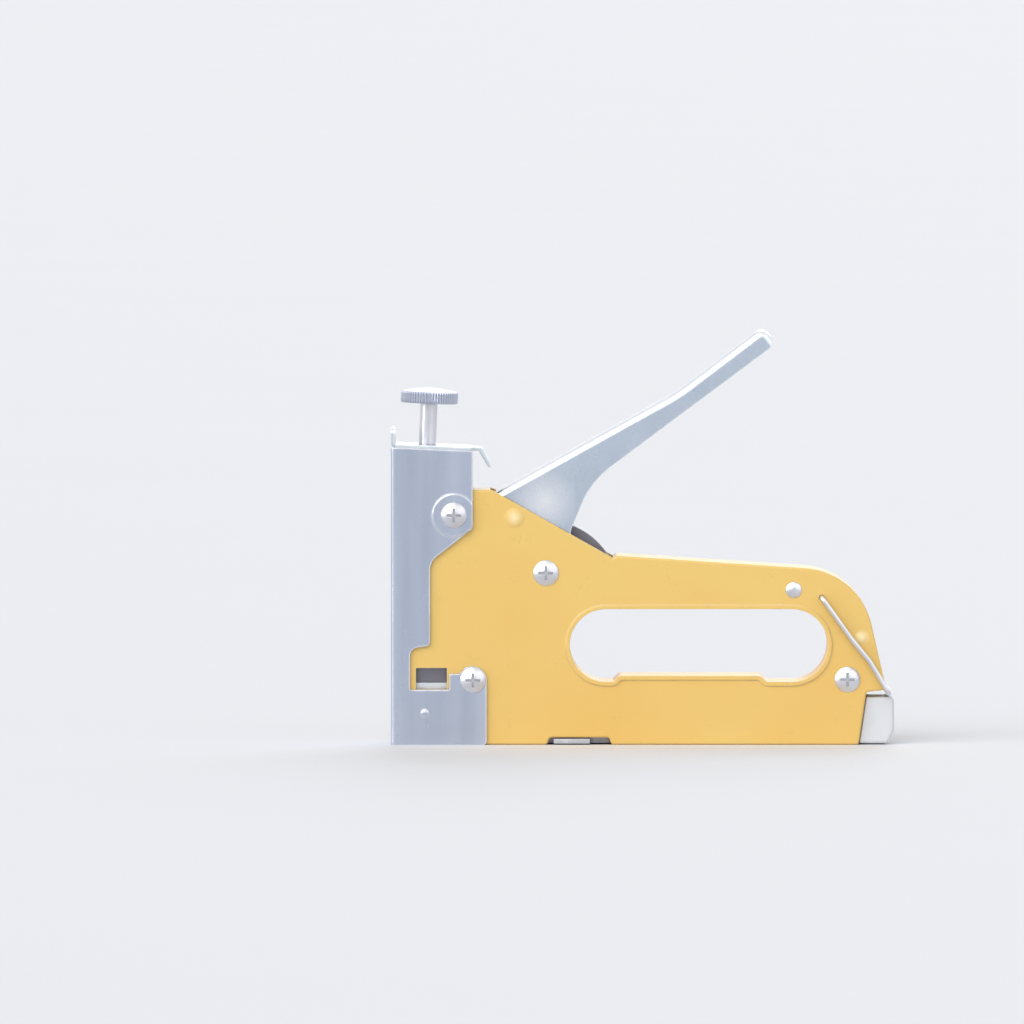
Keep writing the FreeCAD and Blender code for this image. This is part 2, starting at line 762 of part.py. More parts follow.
def top_plate():
    """Plate that closes the nose, with a narrow tail bent down behind it."""
    flat = rounded_face([
        (guide_rear_x, nose_top_z(guide_rear_x), 0),
        (nose_rear_x, nose_top_rear_z, 0),
        (nose_rear_x, nose_top_rear_z + top_sheet, 0),
        (guide_rear_x, nose_top_z(guide_rear_x) + top_sheet, 0),
    ])
    tail_top_z = nose_top_rear_z + top_sheet
    tail = rounded_face([
        (nose_rear_x - overrun, nose_top_z(nose_rear_x - overrun), 0),
        (nose_rear_x - overrun, nose_top_z(nose_rear_x - overrun) + top_sheet, 0),
        (top_tail_x, nose_top_z(top_tail_x) + top_sheet, top_tail_bend),
        (top_tail_end_x, top_tail_end_z, 0),
        (top_tail_end_x - top_sheet, top_tail_end_z, 0),
        (top_tail_x - top_sheet, nose_top_z(top_tail_x), top_tail_bend / 4),
    ])
    solid = slab(flat, -nose_half_width, nose_half_width)
    solid = rounded(solid, small_corner * 2, lambda edge: edge.BoundBox.XMin > nose_rear_x
                    - running_fit and edge.BoundBox.YLength < running_fit)
    solid = solid.fuse(slab(tail, -top_tail_half_width, top_tail_half_width))
    neck = upright_pin(nut_neck_radius + close_fit, -top_sheet * 3, tail_top_z)
    return solid.cut(on_adjuster(neck)).removeSplitter()


def adjuster_nut():
    """Threaded collar under the top plate, with its neck in the plate's hole."""
    solid = upright_pin(nut_radius, -top_sheet - nut_length, -top_sheet)
    solid = solid.fuse(upright_pin(nut_neck_radius, -top_sheet - nut_length, 0))
    solid = solid.cut(upright_pin(screw_radius + running_fit, -overrun * 3, overrun))
    return on_adjuster(solid.removeSplitter())


def adjusting_screw():
    """Screw from the knob down to the spring seat."""
    solid = upright_pin(screw_radius, -screw_down, screw_up)
    solid = chamfered(solid, screw_radius / 4, lambda edge: edge.BoundBox.ZMax < -screw_down + running_fit)
    return on_adjuster(solid)


def power_knob():
    """Disc with a crowned top that is turned by hand."""
    top = screw_up + knob_thickness
    solid = upright_pin(knob_radius, screw_up, top)
    solid = rounded(solid, knob_edge, lambda edge: edge.BoundBox.ZLength < running_fit)
    crown_radius = knob_radius - knob_edge
    sphere_radius = (crown_radius ** 2 + knob_crown ** 2) / (knob_crown * 2)
    crown = Part.makeSphere(sphere_radius, V(0, 0, top + knob_crown - sphere_radius))
    crown = crown.common(upright_pin(crown_radius, top, top + knob_crown + overrun))
    return on_adjuster(solid.fuse(crown).removeSplitter())


def spring_seat():
    """Flanged seat between the screw's end and the main spring."""
    top = -screw_down
    solid = upright_pin(seat_radius, top - seat_thickness, top)
    boss = upright_pin(seat_boss_radius, top - seat_thickness - seat_boss_height, top - seat_thickness)
    boss = chamfered(boss, seat_boss_radius / 4, lambda edge: edge.BoundBox.ZMax < top
                     - seat_thickness - seat_boss_height + running_fit)
    return on_adjuster(solid.fuse(boss).removeSplitter())


def lever_outline():
    """Side view of the lever channel, from the hub up to the rounded tip."""
    rise = math.atan2(lever_tip_z - lever_bend_z, lever_tip_x - lever_bend_x)
    tip_low_x = lever_tip_x + lever_tip_width * math.sin(rise)
    tip_low_z = lever_tip_z - lever_tip_width * math.cos(rise)
    tip_reach = lever_tip_width / 2 * round_end_share
    bend = (lever_bend_x, lever_bend_z)
    tip = (lever_tip_x, lever_tip_z)
    tip_low = (tip_low_x, tip_low_z)
    throat = (lever_throat_x, lever_throat_z)
    tip_radius = radius_for_reach(bend, tip, tip_low, tip_reach)
    tip_low_radius = radius_for_reach(tip, tip_low, throat, tip_reach)
    hub_round = lever_hub_radius * round_end_share
    hub_low_z = pivot_z - lever_hub_radius
    hub_front_x = pivot_x - lever_hub_radius
    hub_rear_x = pivot_x + lever_hub_radius
    return rounded_face([
        (lever_root_x, lever_root_z, 0),
        (*bend, lever_bend_radius),
        (*tip, tip_radius),
        (*tip_low, tip_low_radius),
        (*throat, lever_throat_radius),
        (hub_rear_x, lever_neck_z, lever_hub_radius),
        (hub_rear_x, hub_low_z, hub_round),
        (hub_front_x, hub_low_z, hub_round),
        (hub_front_x, lever_front_z - lever_lean, small_corner * 2),
        (hub_front_x + lever_front_offset, lever_front_z, lever_front_radius),
        (lever_chin_x, lever_chin_z, small_corner),
    ])


def lever_crown(depth, half_width, radius):
    """Solid that the lever's rounded crown and tip bound from above, at a depth in the sheet."""
    rise = math.atan2(lever_bend_z - lever_root_z, lever_bend_x - lever_root_x)
    tip_rise = math.atan2(lever_tip_z - lever_bend_z, lever_tip_x - lever_bend_x)
    start_x = lever_root_x - overrun
    start_z = lever_root_z - overrun * math.tan(rise)
    tip_radius = lever_tip_width / 2
    low_x = lever_tip_x + (lever_tip_width + overrun) * math.sin(tip_rise)
    low_z = lever_tip_z - (lever_tip_width + overrun) * math.cos(tip_rise)
    outline = rounded_face([
        (start_x, start_z, 0),
        (lever_bend_x, lever_bend_z, lever_bend_radius),
        (lever_tip_x, lever_tip_z, tip_radius),
        (low_x, low_z, 0),
        (pivot_x, pivot_z - lever_hub_radius - overrun, 0),
        (start_x, pivot_z - lever_hub_radius - overrun, 0),
    ])
    if depth > 0:
        outline = outline.makeOffset2D(-depth)
    solid = slab(outline, -half_width, half_width)

    def on_crown(edge):
        middle = edge.CenterOfMass
        along = middle.z > lever_root_z + (middle.x - lever_root_x) * math.tan(rise) - tip_radius
        return edge.BoundBox.YLength < running_fit and (along or middle.x > lever_tip_x)

    return rounded(solid, radius, on_crown)


def lever_handle():
    """Squeezing lever: a channel with a rounded crown, open underneath, and two cheeks at the pivot."""
    outline = lever_outline()
    rise = math.atan2(lever_bend_z - lever_root_z, lever_bend_x - lever_root_x)
    solid = slab(outline, -cheek_outside, cheek_outside)
    solid = solid.common(lever_crown(0, cheek_outside, lever_crown_radius))
    inside = outline.makeOffset2D(-lever_sheet)
    hollow = slab(inside, -cheek_inside, cheek_inside)
    hollow = hollow.common(lever_crown(lever_sheet, cheek_inside, lever_crown_radius - lever_sheet))
    lowered = slab(inside, -cheek_inside, cheek_inside)
    lowered.translate(V(math.sin(rise), 0, -math.cos(rise)) * lever_sheet * 2)
    solid = solid.cut(hollow).cut(lowered)
    open_front_x = pivot_x - lever_hub_radius - overrun
    solid = solid.cut(block((open_front_x, lever_throat_x + overrun), (-cheek_inside, cheek_inside),
                            (pivot_z - lever_hub_radius - overrun, lever_web_end_z)))
    solid = solid.cut(cross_pin(pivot_x, pivot_z, bush_radius + close_fit, -overrun * 2, overrun * 2))
    solid = solid.cut(cross_pin(lever_rivet_x, lever_rivet_z, lever_rivet_radius, -overrun * 2, overrun * 2))
    return solid.removeSplitter()


def lifting_arm():
    """Hardened arm whose tip lifts the driver, with a rounded heel behind the pivot."""
    tip_low_z = tip_z - arm_tip_radius
    tip_high_z = tip_z + arm_tip_radius
    tip_front_x = tip_x - arm_tip_radius
    tip_round = arm_tip_radius * round_end_share
    hub_low_z = pivot_z - arm_hub_radius
    profile = rounded_face([
        (tip_front_x, tip_high_z, tip_round),
        (arm_knee_x, tip_high_z, arm_tip_radius),
        (arm_shoulder_x, arm_shoulder_z, arm_waist_radius),
        (heel_front_x, heel_front_z, arm_tip_radius),
        (heel_crest_x, heel_crest_z, heel_radius),
        (heel_end_x, heel_end_z, arm_tip_radius / 2),
        (heel_under_x, heel_under_z, arm_waist_radius),
        (pivot_x + arm_hub_radius, hub_low_z, arm_hub_radius / 2),
        (pivot_x - arm_hub_radius / 2, hub_low_z, arm_hub_radius),
        (arm_knee_x, tip_low_z, arm_tip_radius),
        (tip_front_x, tip_low_z, tip_round),
    ])
    solid = slab(profile, -arm_half_thickness, arm_half_thickness)
    solid = solid.cut(cross_pin(pivot_x, pivot_z, bush_radius + running_fit, -overrun, overrun))
    return solid.cut(cross_pin(lever_rivet_x, lever_rivet_z, lever_rivet_radius, -overrun, overrun))


def lever_rivet():
    """Rivet that ties the arm to both cheeks, with collars that keep the arm in the middle."""
    solid = cross_pin(lever_rivet_x, lever_rivet_z, lever_rivet_radius, -cheek_outside, cheek_outside)
    for side in (-1, 1):
        solid = solid.fuse(cross_pin(lever_rivet_x, lever_rivet_z, lever_rivet_head,
                                     side * arm_half_thickness, side * cheek_inside))
        solid = solid.fuse(cross_pin(lever_rivet_x, lever_rivet_z, lever_rivet_head,
                                     side * cheek_outside, side * (cheek_outside + lever_rivet_head_height)))
    return solid.removeSplitter()


def driver_hammer():
    """Block that the main spring drives down, with ears for the lift pin and a skirt behind the window."""
    front_x = blade_rear_x
    solid = block((front_x, hammer_rear_x), (-hammer_half_width, hammer_half_width),
                  (hammer_bottom_z, hammer_top_z))
    solid = chamfered(solid, hammer_edge, lambda edge: edge.BoundBox.YLength < running_fit
                      and edge.BoundBox.XLength < running_fit)
    boss_foot = V(spring_axis_x(), 0, hammer_top_z)
    boss = Part.makeCylinder(seat_boss_radius, hammer_boss_height, boss_foot, ALONG_Z)
    solid = solid.fuse(boss)
    skirt_front_x = front_x + hammer_edge
    skirt_top_z = hammer_bottom_z + hammer_edge
    skirt = rounded_face([
        (skirt_front_x, hammer_skirt_bottom_z, small_corner),
        (hammer_skirt_rear_x, hammer_skirt_bottom_z, small_corner),
        (hammer_skirt_rear_x, skirt_top_z, small_corner / 2),
        (skirt_front_x, skirt_top_z, 0),
    ])
    skirt_inside = hammer_half_width - hammer_skirt_sheet
    for side in (-1, 1):
        solid = solid.fuse(slab(skirt, side * skirt_inside, side * hammer_half_width))
    ears = cross_pin(lift_pin_x, lift_pin_z, lift_ear_radius, -hammer_half_width + hammer_edge,
                     hammer_half_width - hammer_edge)
    web = block((hammer_rear_x, lift_pin_x), (-hammer_half_width + hammer_edge, hammer_half_width
                - hammer_edge), (lift_pin_z - lift_ear_radius, lift_pin_z + lift_ear_radius))
    ears = ears.fuse(web)
    ears = ears.cut(block((hammer_rear_x, lift_pin_x + overrun), (-lift_slot_half_width,
                    lift_slot_half_width), (hammer_bottom_z - overrun, hammer_top_z + overrun)))
    ears = ears.cut(block((0, hammer_rear_x), (-hammer_half_width, hammer_half_width),
                          (hammer_bottom_z, hammer_top_z)))
    solid = solid.fuse(ears)
    solid = solid.cut(cross_pin(lift_pin_x, lift_pin_z, lift_pin_radius, -overrun * 2, overrun * 2))
    for z in blade_rivet_heights():
        hole = Part.makeCylinder(blade_rivet_radius, blade_rivet_depth, V(front_x, 0, z), ALONG_X)
        solid = solid.cut(hole)
    return solid.removeSplitter()


def spring_axis_x():
    """Place of the main spring: straight under the middle of the spring seat."""
    depth = screw_down + seat_thickness
    return adjuster_x - depth * math.sin(math.radians(adjuster_tilt))


def blade_rivet_heights():
    """Heights of the two rivets between the blade and the hammer."""
    height = hammer_top_z - hammer_bottom_z
    return [hammer_bottom_z + height * share for share in (blade_rivet_low_share, blade_rivet_high_share)]


def driver_blade():
    """Flat blade that pushes the staple out."""
    solid = block((blade_front_x, blade_rear_x), (-blade_half_width, blade_half_width),
                  (blade_bottom_z, hammer_top_z))
    for z in blade_rivet_heights():
        solid = solid.cut(Part.makeCylinder(blade_rivet_radius, overrun, V(blade_front_x - overrun / 2, 0, z),
                                            ALONG_X))
    return solid


def blade_rivets():
    """Two flush rivets."""
    length = blade_thickness + blade_rivet_depth
    return group([Part.makeCylinder(blade_rivet_radius, length, V(blade_front_x, 0, z), ALONG_X)
                  for z in blade_rivet_heights()])


def magazine_channel():
    """Fixed staple channel, open underneath, with two small feet in the shells' lower notch."""
    solid = block((magazine_front_x, channel_rear_x), (-channel_half_width, channel_half_width),
                  (channel_bottom_z, channel_top_z))
    solid = rounded(solid, channel_sheet / 2, lambda edge: edge.BoundBox.ZMin > channel_top_z - running_fit
                    and edge.BoundBox.YLength < running_fit)
    for side in (-1, 1):
        solid = solid.fuse(block((channel_foot_front_x, channel_foot_rear_x),
                                 (side * channel_inside, side * channel_foot_half_width),
                                 (channel_bottom_z, channel_bottom_z + channel_foot_thickness)))
    return solid.cut(block((-overrun, channel_rear_x + overrun), (-channel_inside, channel_inside),
                           (-overrun, channel_top_z - channel_sheet))).removeSplitter()


def bracket(outline, front_x, rear_x, screw_x, screw_z):
    """Saddle over the magazine channel, hung from the spacer of a body screw."""
    solid = slab(outline, -bracket_half_width, bracket_half_width)
    solid = solid.cut(block((front_x - overrun, rear_x + overrun), (-channel_half_width, channel_half_width),
                            (-overrun, channel_top_z)))
    solid = solid.cut(block((front_x - overrun, rear_x + overrun), (-channel_half_width, channel_half_width),
                            (channel_top_z + bracket_sheet, screw_z + overrun * 2)))
    return solid.cut(cross_pin(screw_x, screw_z, spacer_radius, -overrun * 2, overrun * 2)).removeSplitter()


def front_bracket():
    """Bracket at the nose, whose bright edge shows in the window."""
    ear_top = lower_screw_z + bracket_ear_radius
    outline = rounded_face([
        (front_bracket_x, bracket_bottom_z, 0),
        (front_bracket_rear_x, bracket_bottom_z, 0),
        (front_bracket_rear_x, ear_top, bracket_ear_radius),
        (lower_screw_x - bracket_ear_radius, ear_top, bracket_ear_radius),
        (front_bracket_step_x, front_bracket_bar_z, small_corner),
        (front_bracket_x, front_bracket_bar_z, small_corner),
    ])
    return bracket(outline, front_bracket_x, front_bracket_rear_x, lower_screw_x, lower_screw_z)


def rear_bracket():
    """Bracket at the rear screw."""
    ear_top = rear_screw_z + bracket_ear_radius
    outline = rounded_face([
        (rear_bracket_x, bracket_bottom_z, 0),
        (rear_bracket_rear_x, bracket_bottom_z, 0),
        (rear_bracket_rear_x, ear_top, rear_bracket_corner),
        (rear_bracket_x, ear_top, rear_bracket_corner),
    ])
    return bracket(outline, rear_bracket_x, rear_bracket_rear_x, rear_screw_x, rear_screw_z)


def inner_rail():
    """Rail that the staples straddle, open underneath and slotted along its top."""
    rear_x = cap_pin_x + cap_pin_radius * 2
    solid = block((magazine_front_x, rear_x), (-rail_half_width, rail_half_width),
                  (rail_bottom_z, rail_top_z))
    solid = rounded(solid, rail_sheet / 2, lambda edge: edge.BoundBox.ZMin > rail_top_z - running_fit
                    and edge.BoundBox.YLength < running_fit)
    solid = solid.cut(block((magazine_front_x + rail_sheet, rear_x + overrun), (-rail_inside, rail_inside),
                            (-overrun, rail_top_z - rail_sheet)))
    solid = solid.cut(block((rail_slot_front_x, plug_front_x), (-rail_slot_half_width, rail_slot_half_width),
                            (rod_z, rail_top_z + overrun)))
    solid = solid.cut(cross_pin(cap_pin_x, cap_pin_z, cap_pin_radius, -overrun * 2, overrun * 2))
    return solid.removeSplitter()


def guide_rod():
    """Rod inside the rail that carries the follower and its spring."""
    start_x = magazine_front_x + rail_sheet
    length = plug_front_x + overrun - start_x
    return Part.makeCylinder(rod_radius, length, V(start_x, 0, rod_z), ALONG_X)


def follower():
    """Pusher astride the rail, joined through the rail's slot to a sleeve on the rod."""
    front_x = rail_slot_front_x + slide_gap
    rear_x = front_x + follower_length
    roof_top = channel_top_z - channel_sheet - slide_gap
    roof_low = rail_top_z + slide_gap
    solid = block((front_x, rear_x), (-follower_half_width, follower_half_width),
                  (follower_leg_bottom_z, roof_top))
    way = rail_half_width + slide_gap
    solid = solid.cut(block((front_x - overrun, rear_x + overrun), (-way, way), (-overrun, roof_low)))
    web_half = rail_slot_half_width - slide_gap
    solid = solid.fuse(block((front_x, rear_x), (-web_half, web_half), (rod_z, roof_top)))
    sleeve = Part.makeCylinder(follower_hub_radius, follower_length, V(front_x, 0, rod_z), ALONG_X)
    solid = solid.fuse(sleeve)
    bore = Part.makeCylinder(rod_radius + running_fit, follower_length + overrun * 2,
                             V(front_x - overrun, 0, rod_z), ALONG_X)
    return solid.cut(bore).removeSplitter()


def end_cap():
    """Grip at the rear of the magazine, with a plug that holds the rail and the rod."""
    lean = (tail_notch_x - rear_foot_x) / tail_notch_z
    low_z = channel_bottom_z
    front_low = rear_foot_x + moving_gap + lean * low_z
    front_high = rear_foot_x + moving_gap + lean * cap_top_z
    outline = rounded_face([
        (front_low, low_z, 0),
        (cap_chamfer_x, low_z, small_corner),
        (cap_rear_x, cap_chamfer_z, small_corner),
        (cap_rear_x, cap_top_z, cap_top_corner),
        (front_high, cap_top_z, 0),
    ])
    solid = slab(outline, -cap_half_width, cap_half_width)
    solid = rounded(solid, cap_corner, lambda edge: edge.BoundBox.YLength < running_fit
                    and edge.BoundBox.XMax > front_high + running_fit
                    and edge.BoundBox.XMax - edge.BoundBox.XMin < overrun * 3
                    and edge.CenterOfMass.x > front_high + running_fit)
    pocket_rear_x = cap_pin_x + cap_pin_radius * 2
    pocket = block((rear_foot_x - overrun, pocket_rear_x), (-rail_half_width, rail_half_width),
                   (-overrun, rail_top_z))
    solid = solid.cut(pocket)
    plug = block((plug_front_x, pocket_rear_x), (-rail_inside, rail_inside),
                 (plug_bottom_z, rail_top_z - rail_sheet))
    solid = solid.fuse(plug)
    solid = solid.cut(Part.makeCylinder(rod_radius, overrun, V(plug_front_x, 0, rod_z), ALONG_X))
    solid = solid.cut(cross_pin(cap_pin_x, cap_pin_z, cap_pin_radius, -cap_pin_half_length,
                                cap_pin_half_length))
    return solid.removeSplitter()


def round_path(points, radius):
    """Open wire of straight runs joined by tangent arcs of one radius."""
    edges = []
    last = points[0]
    for index in range(1, len(points) - 1):
        here = points[index]
        to_before = (points[index - 1] - here).normalize()
        to_after = (points[index + 1] - here).normalize()
        half_angle = to_before.getAngle(to_after) / 2
        reach = radius / math.tan(half_angle)
        middle = (to_before + to_after).normalize()
        bulge = radius / math.sin(half_angle) - radius
        start = here + to_before * reach
        end = here + to_after * reach
        edges.append(Part.makeLine(last, start))
        edges.append(Part.Arc(start, here + middle * bulge, end).toShape())
        last = end
    edges.append(Part.makeLine(last, points[-1]))
    return Part.Wire(edges)


def wire_along(path, radius):
    """Round wire swept along a path."""
    first = path.Edges[0]
    start = first.valueAt(first.FirstParameter)
    heading = first.tangentAt(first.FirstParameter)
    section = Part.Wire(Part.Circle(start, heading, radius).toShape())
    swept = path.makePipeShell([section], True, False)
    return Part.Solid(Part.Shell(swept.Faces))


def bail():
    """Wire loop hinged in both shells, with its bar behind the handle."""
    hook_y = shell_inside - bail_hook_inside
    left = [
        V(bail_pivot_x, -hook_y, bail_pivot_z),
        V(bail_pivot_x, -bail_half_width, bail_pivot_z),
        V(bail_elbow_x, -bail_half_width, bail_elbow_z),
        V(bail_knee_x, -bail_half_width, bail_knee_z),
        V(bail_bar_x, -bail_half_width, bail_bar_z),
    ]
    right = [V(point.x, -point.y, point.z) for point in reversed(left)]
    return wire_along(round_path(left + right, bail_bend_radius), bail_wire_radius)


def arc_leaving(start, heading, end):
    """Arc from start to end that leaves start along a heading."""
    chord = end - start
    along = V(chord).normalize()
    aside = heading - along * heading.dot(along)
    lift = chord.Length / 2 * math.tan(heading.getAngle(chord) / 2)
    return Part.Arc(start, (start + end) / 2 + aside.normalize() * lift, end).toShape()


def biarc(start, start_heading, end, end_heading):
    """Two arcs that join two points and meet both headings."""
    chord = end - start
    both = start_heading + end_heading
    spread = 2 * (1 - start_heading.dot(end_heading))
    reach = (math.sqrt(chord.dot(both) ** 2 + spread * chord.dot(chord)) - chord.dot(both)) / spread
    joint = (start + start_heading * reach + end - end_heading * reach) / 2
    return [arc_leaving(start, start_heading, joint), arc_leaving(end, end_heading * -1, joint)]


def coil(radius, wire, turns, height_at, legs):
    """Unbroken spring on the Z axis, whose height follows a function of the turns wound so far."""
    steps = math.ceil(turns * 4)
    step_turn = turns / steps
    fine = step_turn / 64

    def point_at(turn):
        angle = 2 * math.pi * turn
        return V(radius * math.cos(angle), radius * math.sin(angle), height_at(turn))

    knots = [step * step_turn for step in range(steps + 1)]
    points = [point_at(turn) for turn in knots]
    headings = [(point_at(turn + fine) - point_at(turn - fine)).normalize() for turn in knots]
    edges = [Part.makeLine(points[0] - headings[0] * legs[0], points[0])]
    for step in range(steps):
        edges.extend(biarc(points[step], headings[step], points[step + 1], headings[step + 1]))
    edges.append(Part.makeLine(points[-1], points[-1] + headings[-1] * legs[1]))
    least_gap = min(height_at(turn + 1) - height_at(turn) for turn in knots if turn + 1 <= turns) - wire
    print("coil of", round(turns, 2), "turns, least gap", round(least_gap, 2))
    return wire_along(Part.Wire(edges), wire / 2)


def compression_heights(wire, turns, length):
    """Height against turns: closed turns at both ends and an even pitch between."""
    closed_pitch = wire + least_coil_gap
    open_turns = turns - closed_turns * 2
    open_pitch = (length - closed_pitch * closed_turns * 2) / open_turns

    def height(turn):
        if turn < closed_turns:
            return closed_pitch * turn
        if turn > turns - closed_turns:
            return length - closed_pitch * (turns - turn)
        return closed_pitch * closed_turns + open_pitch * (turn - closed_turns)

    return height


def main_spring():
    """Heavy spring between the hammer and the spring seat."""
    low = hammer_top_z + main_wire / 2 + moving_gap
    tilt = math.radians(adjuster_tilt)
    seat_face = nose_top_z(adjuster_x) + top_sheet - (screw_down + seat_thickness) * math.cos(tilt)
    high = seat_face - seat_radius * math.sin(tilt) - main_wire / 2 - moving_gap
    spare = high - low - driver_travel - adjuster_travel - main_wire * main_spring_turns
    print("main spring, spare length with lever and knob down", round(spare, 2))
    heights = compression_heights(main_wire, main_spring_turns, high - low)
    solid = coil(main_spring_radius, main_wire, main_spring_turns, heights, (main_wire, main_wire))
    solid.translate(V(spring_axis_x(), 0, low))
    return solid


def lever_return_spring():
    """Torsion spring round the bush: one leg rests on the opening's flange, one pushes the rivet's collar."""
    flange_centre_z = opening_top_z - opening_end_radius
    flange_offset = opening_front_x + opening_end_radius - return_leg_rest_x
    flange_top_z = flange_centre_z + math.sqrt((opening_end_radius + shell_sheet) ** 2 - flange_offset ** 2)
    rest_x = return_leg_rest_x - pivot_x
    rest_z = flange_top_z + return_wire - pivot_z
    rest_leg = math.sqrt(rest_x ** 2 + rest_z ** 2 - return_spring_radius ** 2)
    start_angle = math.atan2(rest_z, rest_x) + math.atan2(rest_leg, return_spring_radius)
    collar_x = lever_rivet_x - pivot_x
    collar_z = lever_rivet_z - pivot_z
    aside = return_spring_radius - lever_rivet_head - return_wire / 2 - close_fit
    end_angle = math.atan2(collar_z, collar_x) - math.acos(aside / math.hypot(collar_x, collar_z))
    turns = return_spring_loops + (end_angle - start_angle) / (2 * math.pi)
    pitch = return_wire + least_coil_gap
    legs = (rest_leg, return_leg_length)
    solid = coil(return_spring_radius, return_wire, turns, lambda turn: pitch * turn, legs)
    solid.rotate(ORIGIN, ALONG_Z, math.degrees(start_angle))
    solid.rotate(ORIGIN, ALONG_X, 90)
    middle = (arm_half_thickness + cheek_inside) / 2
    solid.translate(V(pivot_x, pitch * turns / 2 - middle, pivot_z))
    return solid


def follower_spring():
    """Long soft spring on the guide rod, from the follower to the end cap's plug."""
    front_x = rail_slot_front_x + slide_gap + follower_length + follower_wire
    rear_x = plug_front_x - follower_wire
    heights = compression_heights(follower_wire, follower_spring_turns, rear_x - front_x)
    ends = (follower_wire, follower_wire)
    solid = coil(follower_spring_radius, follower_wire, follower_spring_turns, heights, ends)
    solid.rotate(ORIGIN, ALONG_Y, 90)
    solid.translate(V(front_x, 0, rod_z))
    return solid


def write_parts():
    """Writes every piece under its name."""
    upper_seat = nose_half_width + nose_pad_height
    lower_seat = nose_half_width
    spacer_bore = shank_radius + close_fit
    pivot_bore = sleeve_radius + running_fit
    sides = (-1, 1)
    pieces = {
        "shell_left": shell(-1),
        "shell_right": shell(1),
        "nose_cover": nose_cover(),
        "front_plate": front_plate(),
        "top_plate": top_plate(),
        "adjuster_nut": adjuster_nut(),
        "nose_screws": group([screw(upper_screw_x, upper_screw_z, upper_seat),
                              screw(lower_screw_x, lower_screw_z, lower_seat)]),
        "pivot_screw": screw(pivot_x, pivot_z, shell_half_width),
        "rear_screw": screw(rear_screw_x, rear_screw_z, shell_half_width),
        "nuts": group([hex_nut(upper_screw_x, upper_screw_z, upper_seat),
                       hex_nut(lower_screw_x, lower_screw_z, lower_seat),
                       hex_nut(pivot_x, pivot_z, shell_half_width),
                       hex_nut(rear_screw_x, rear_screw_z, shell_half_width)]),
        "spacer_tubes": group([cross_tube(x, z, spacer_bore, spacer_radius, -shell_inside, shell_inside)
                               for x, z in ((upper_screw_x, upper_screw_z), (lower_screw_x, lower_screw_z),
                                            (rear_screw_x, rear_screw_z))]),
        "handle_rivet": cross_pin(rivet_x, rivet_z, rivet_radius, -shell_half_width, shell_half_width).fuse(
            [dome(rivet_x, rivet_z, side, shell_half_width, rivet_head_radius, rivet_head_height)
             for side in sides]).removeSplitter(),
        "rivet_spacer": cross_tube(rivet_x, rivet_z, rivet_radius + close_fit, rivet_spacer_radius,
                                   -shell_inside, shell_inside),
        "lever_stop": cross_pin(stop_x, stop_z, stop_radius, -shell_inside, shell_inside),
        "pivot_sleeve": cross_tube(pivot_x, pivot_z, spacer_bore, sleeve_radius, -shell_inside, shell_inside),
        "pivot_washers": group([cross_tube(pivot_x, pivot_z, pivot_bore, washer_radius,
                                           side * (shell_inside - washer_thickness), side * shell_inside)
                                for side in sides]),
        "lever_handle": lever_handle(),
        "lifting_arm": lifting_arm(),
        "lever_bush": cross_tube(pivot_x, pivot_z, pivot_bore, bush_radius, -cheek_outside, cheek_outside),
        "arm_spacer": cross_tube(pivot_x, pivot_z, bush_radius, washer_radius,
                                 arm_half_thickness, cheek_inside),
        "lever_rivet": lever_rivet(),
        "lever_return_spring": lever_return_spring(),
        "driver_blade": driver_blade(),
        "driver_hammer": driver_hammer(),
        "blade_rivets": blade_rivets(),
        "lift_pin": cross_pin(lift_pin_x, lift_pin_z, lift_pin_radius, -hammer_half_width + hammer_edge,
                              hammer_half_width - hammer_edge),
        "main_spring": main_spring(),
        "spring_seat": spring_seat(),
        "adjusting_screw": adjusting_screw(),
        "power_knob": power_knob(),
        "magazine_channel": magazine_channel(),
        "front_bracket": front_bracket(),
        "rear_bracket": rear_bracket(),
        "inner_rail": inner_rail(),
        "guide_rod": guide_rod(),
        "follower": follower(),
        "follower_spring": follower_spring(),
        "end_cap": end_cap(),
        "cap_pin": cross_pin(cap_pin_x, cap_pin_z, cap_pin_radius, -cap_pin_half_length,
                             cap_pin_half_length),
        "bail_wire": bail(),
    }
    for name, shape in pieces.items():
        shape.exportStep("parts/" + name + ".step")
        print(name, len(shape.Solids), round(shape.Volume, 1), shape.isValid())


write_parts()
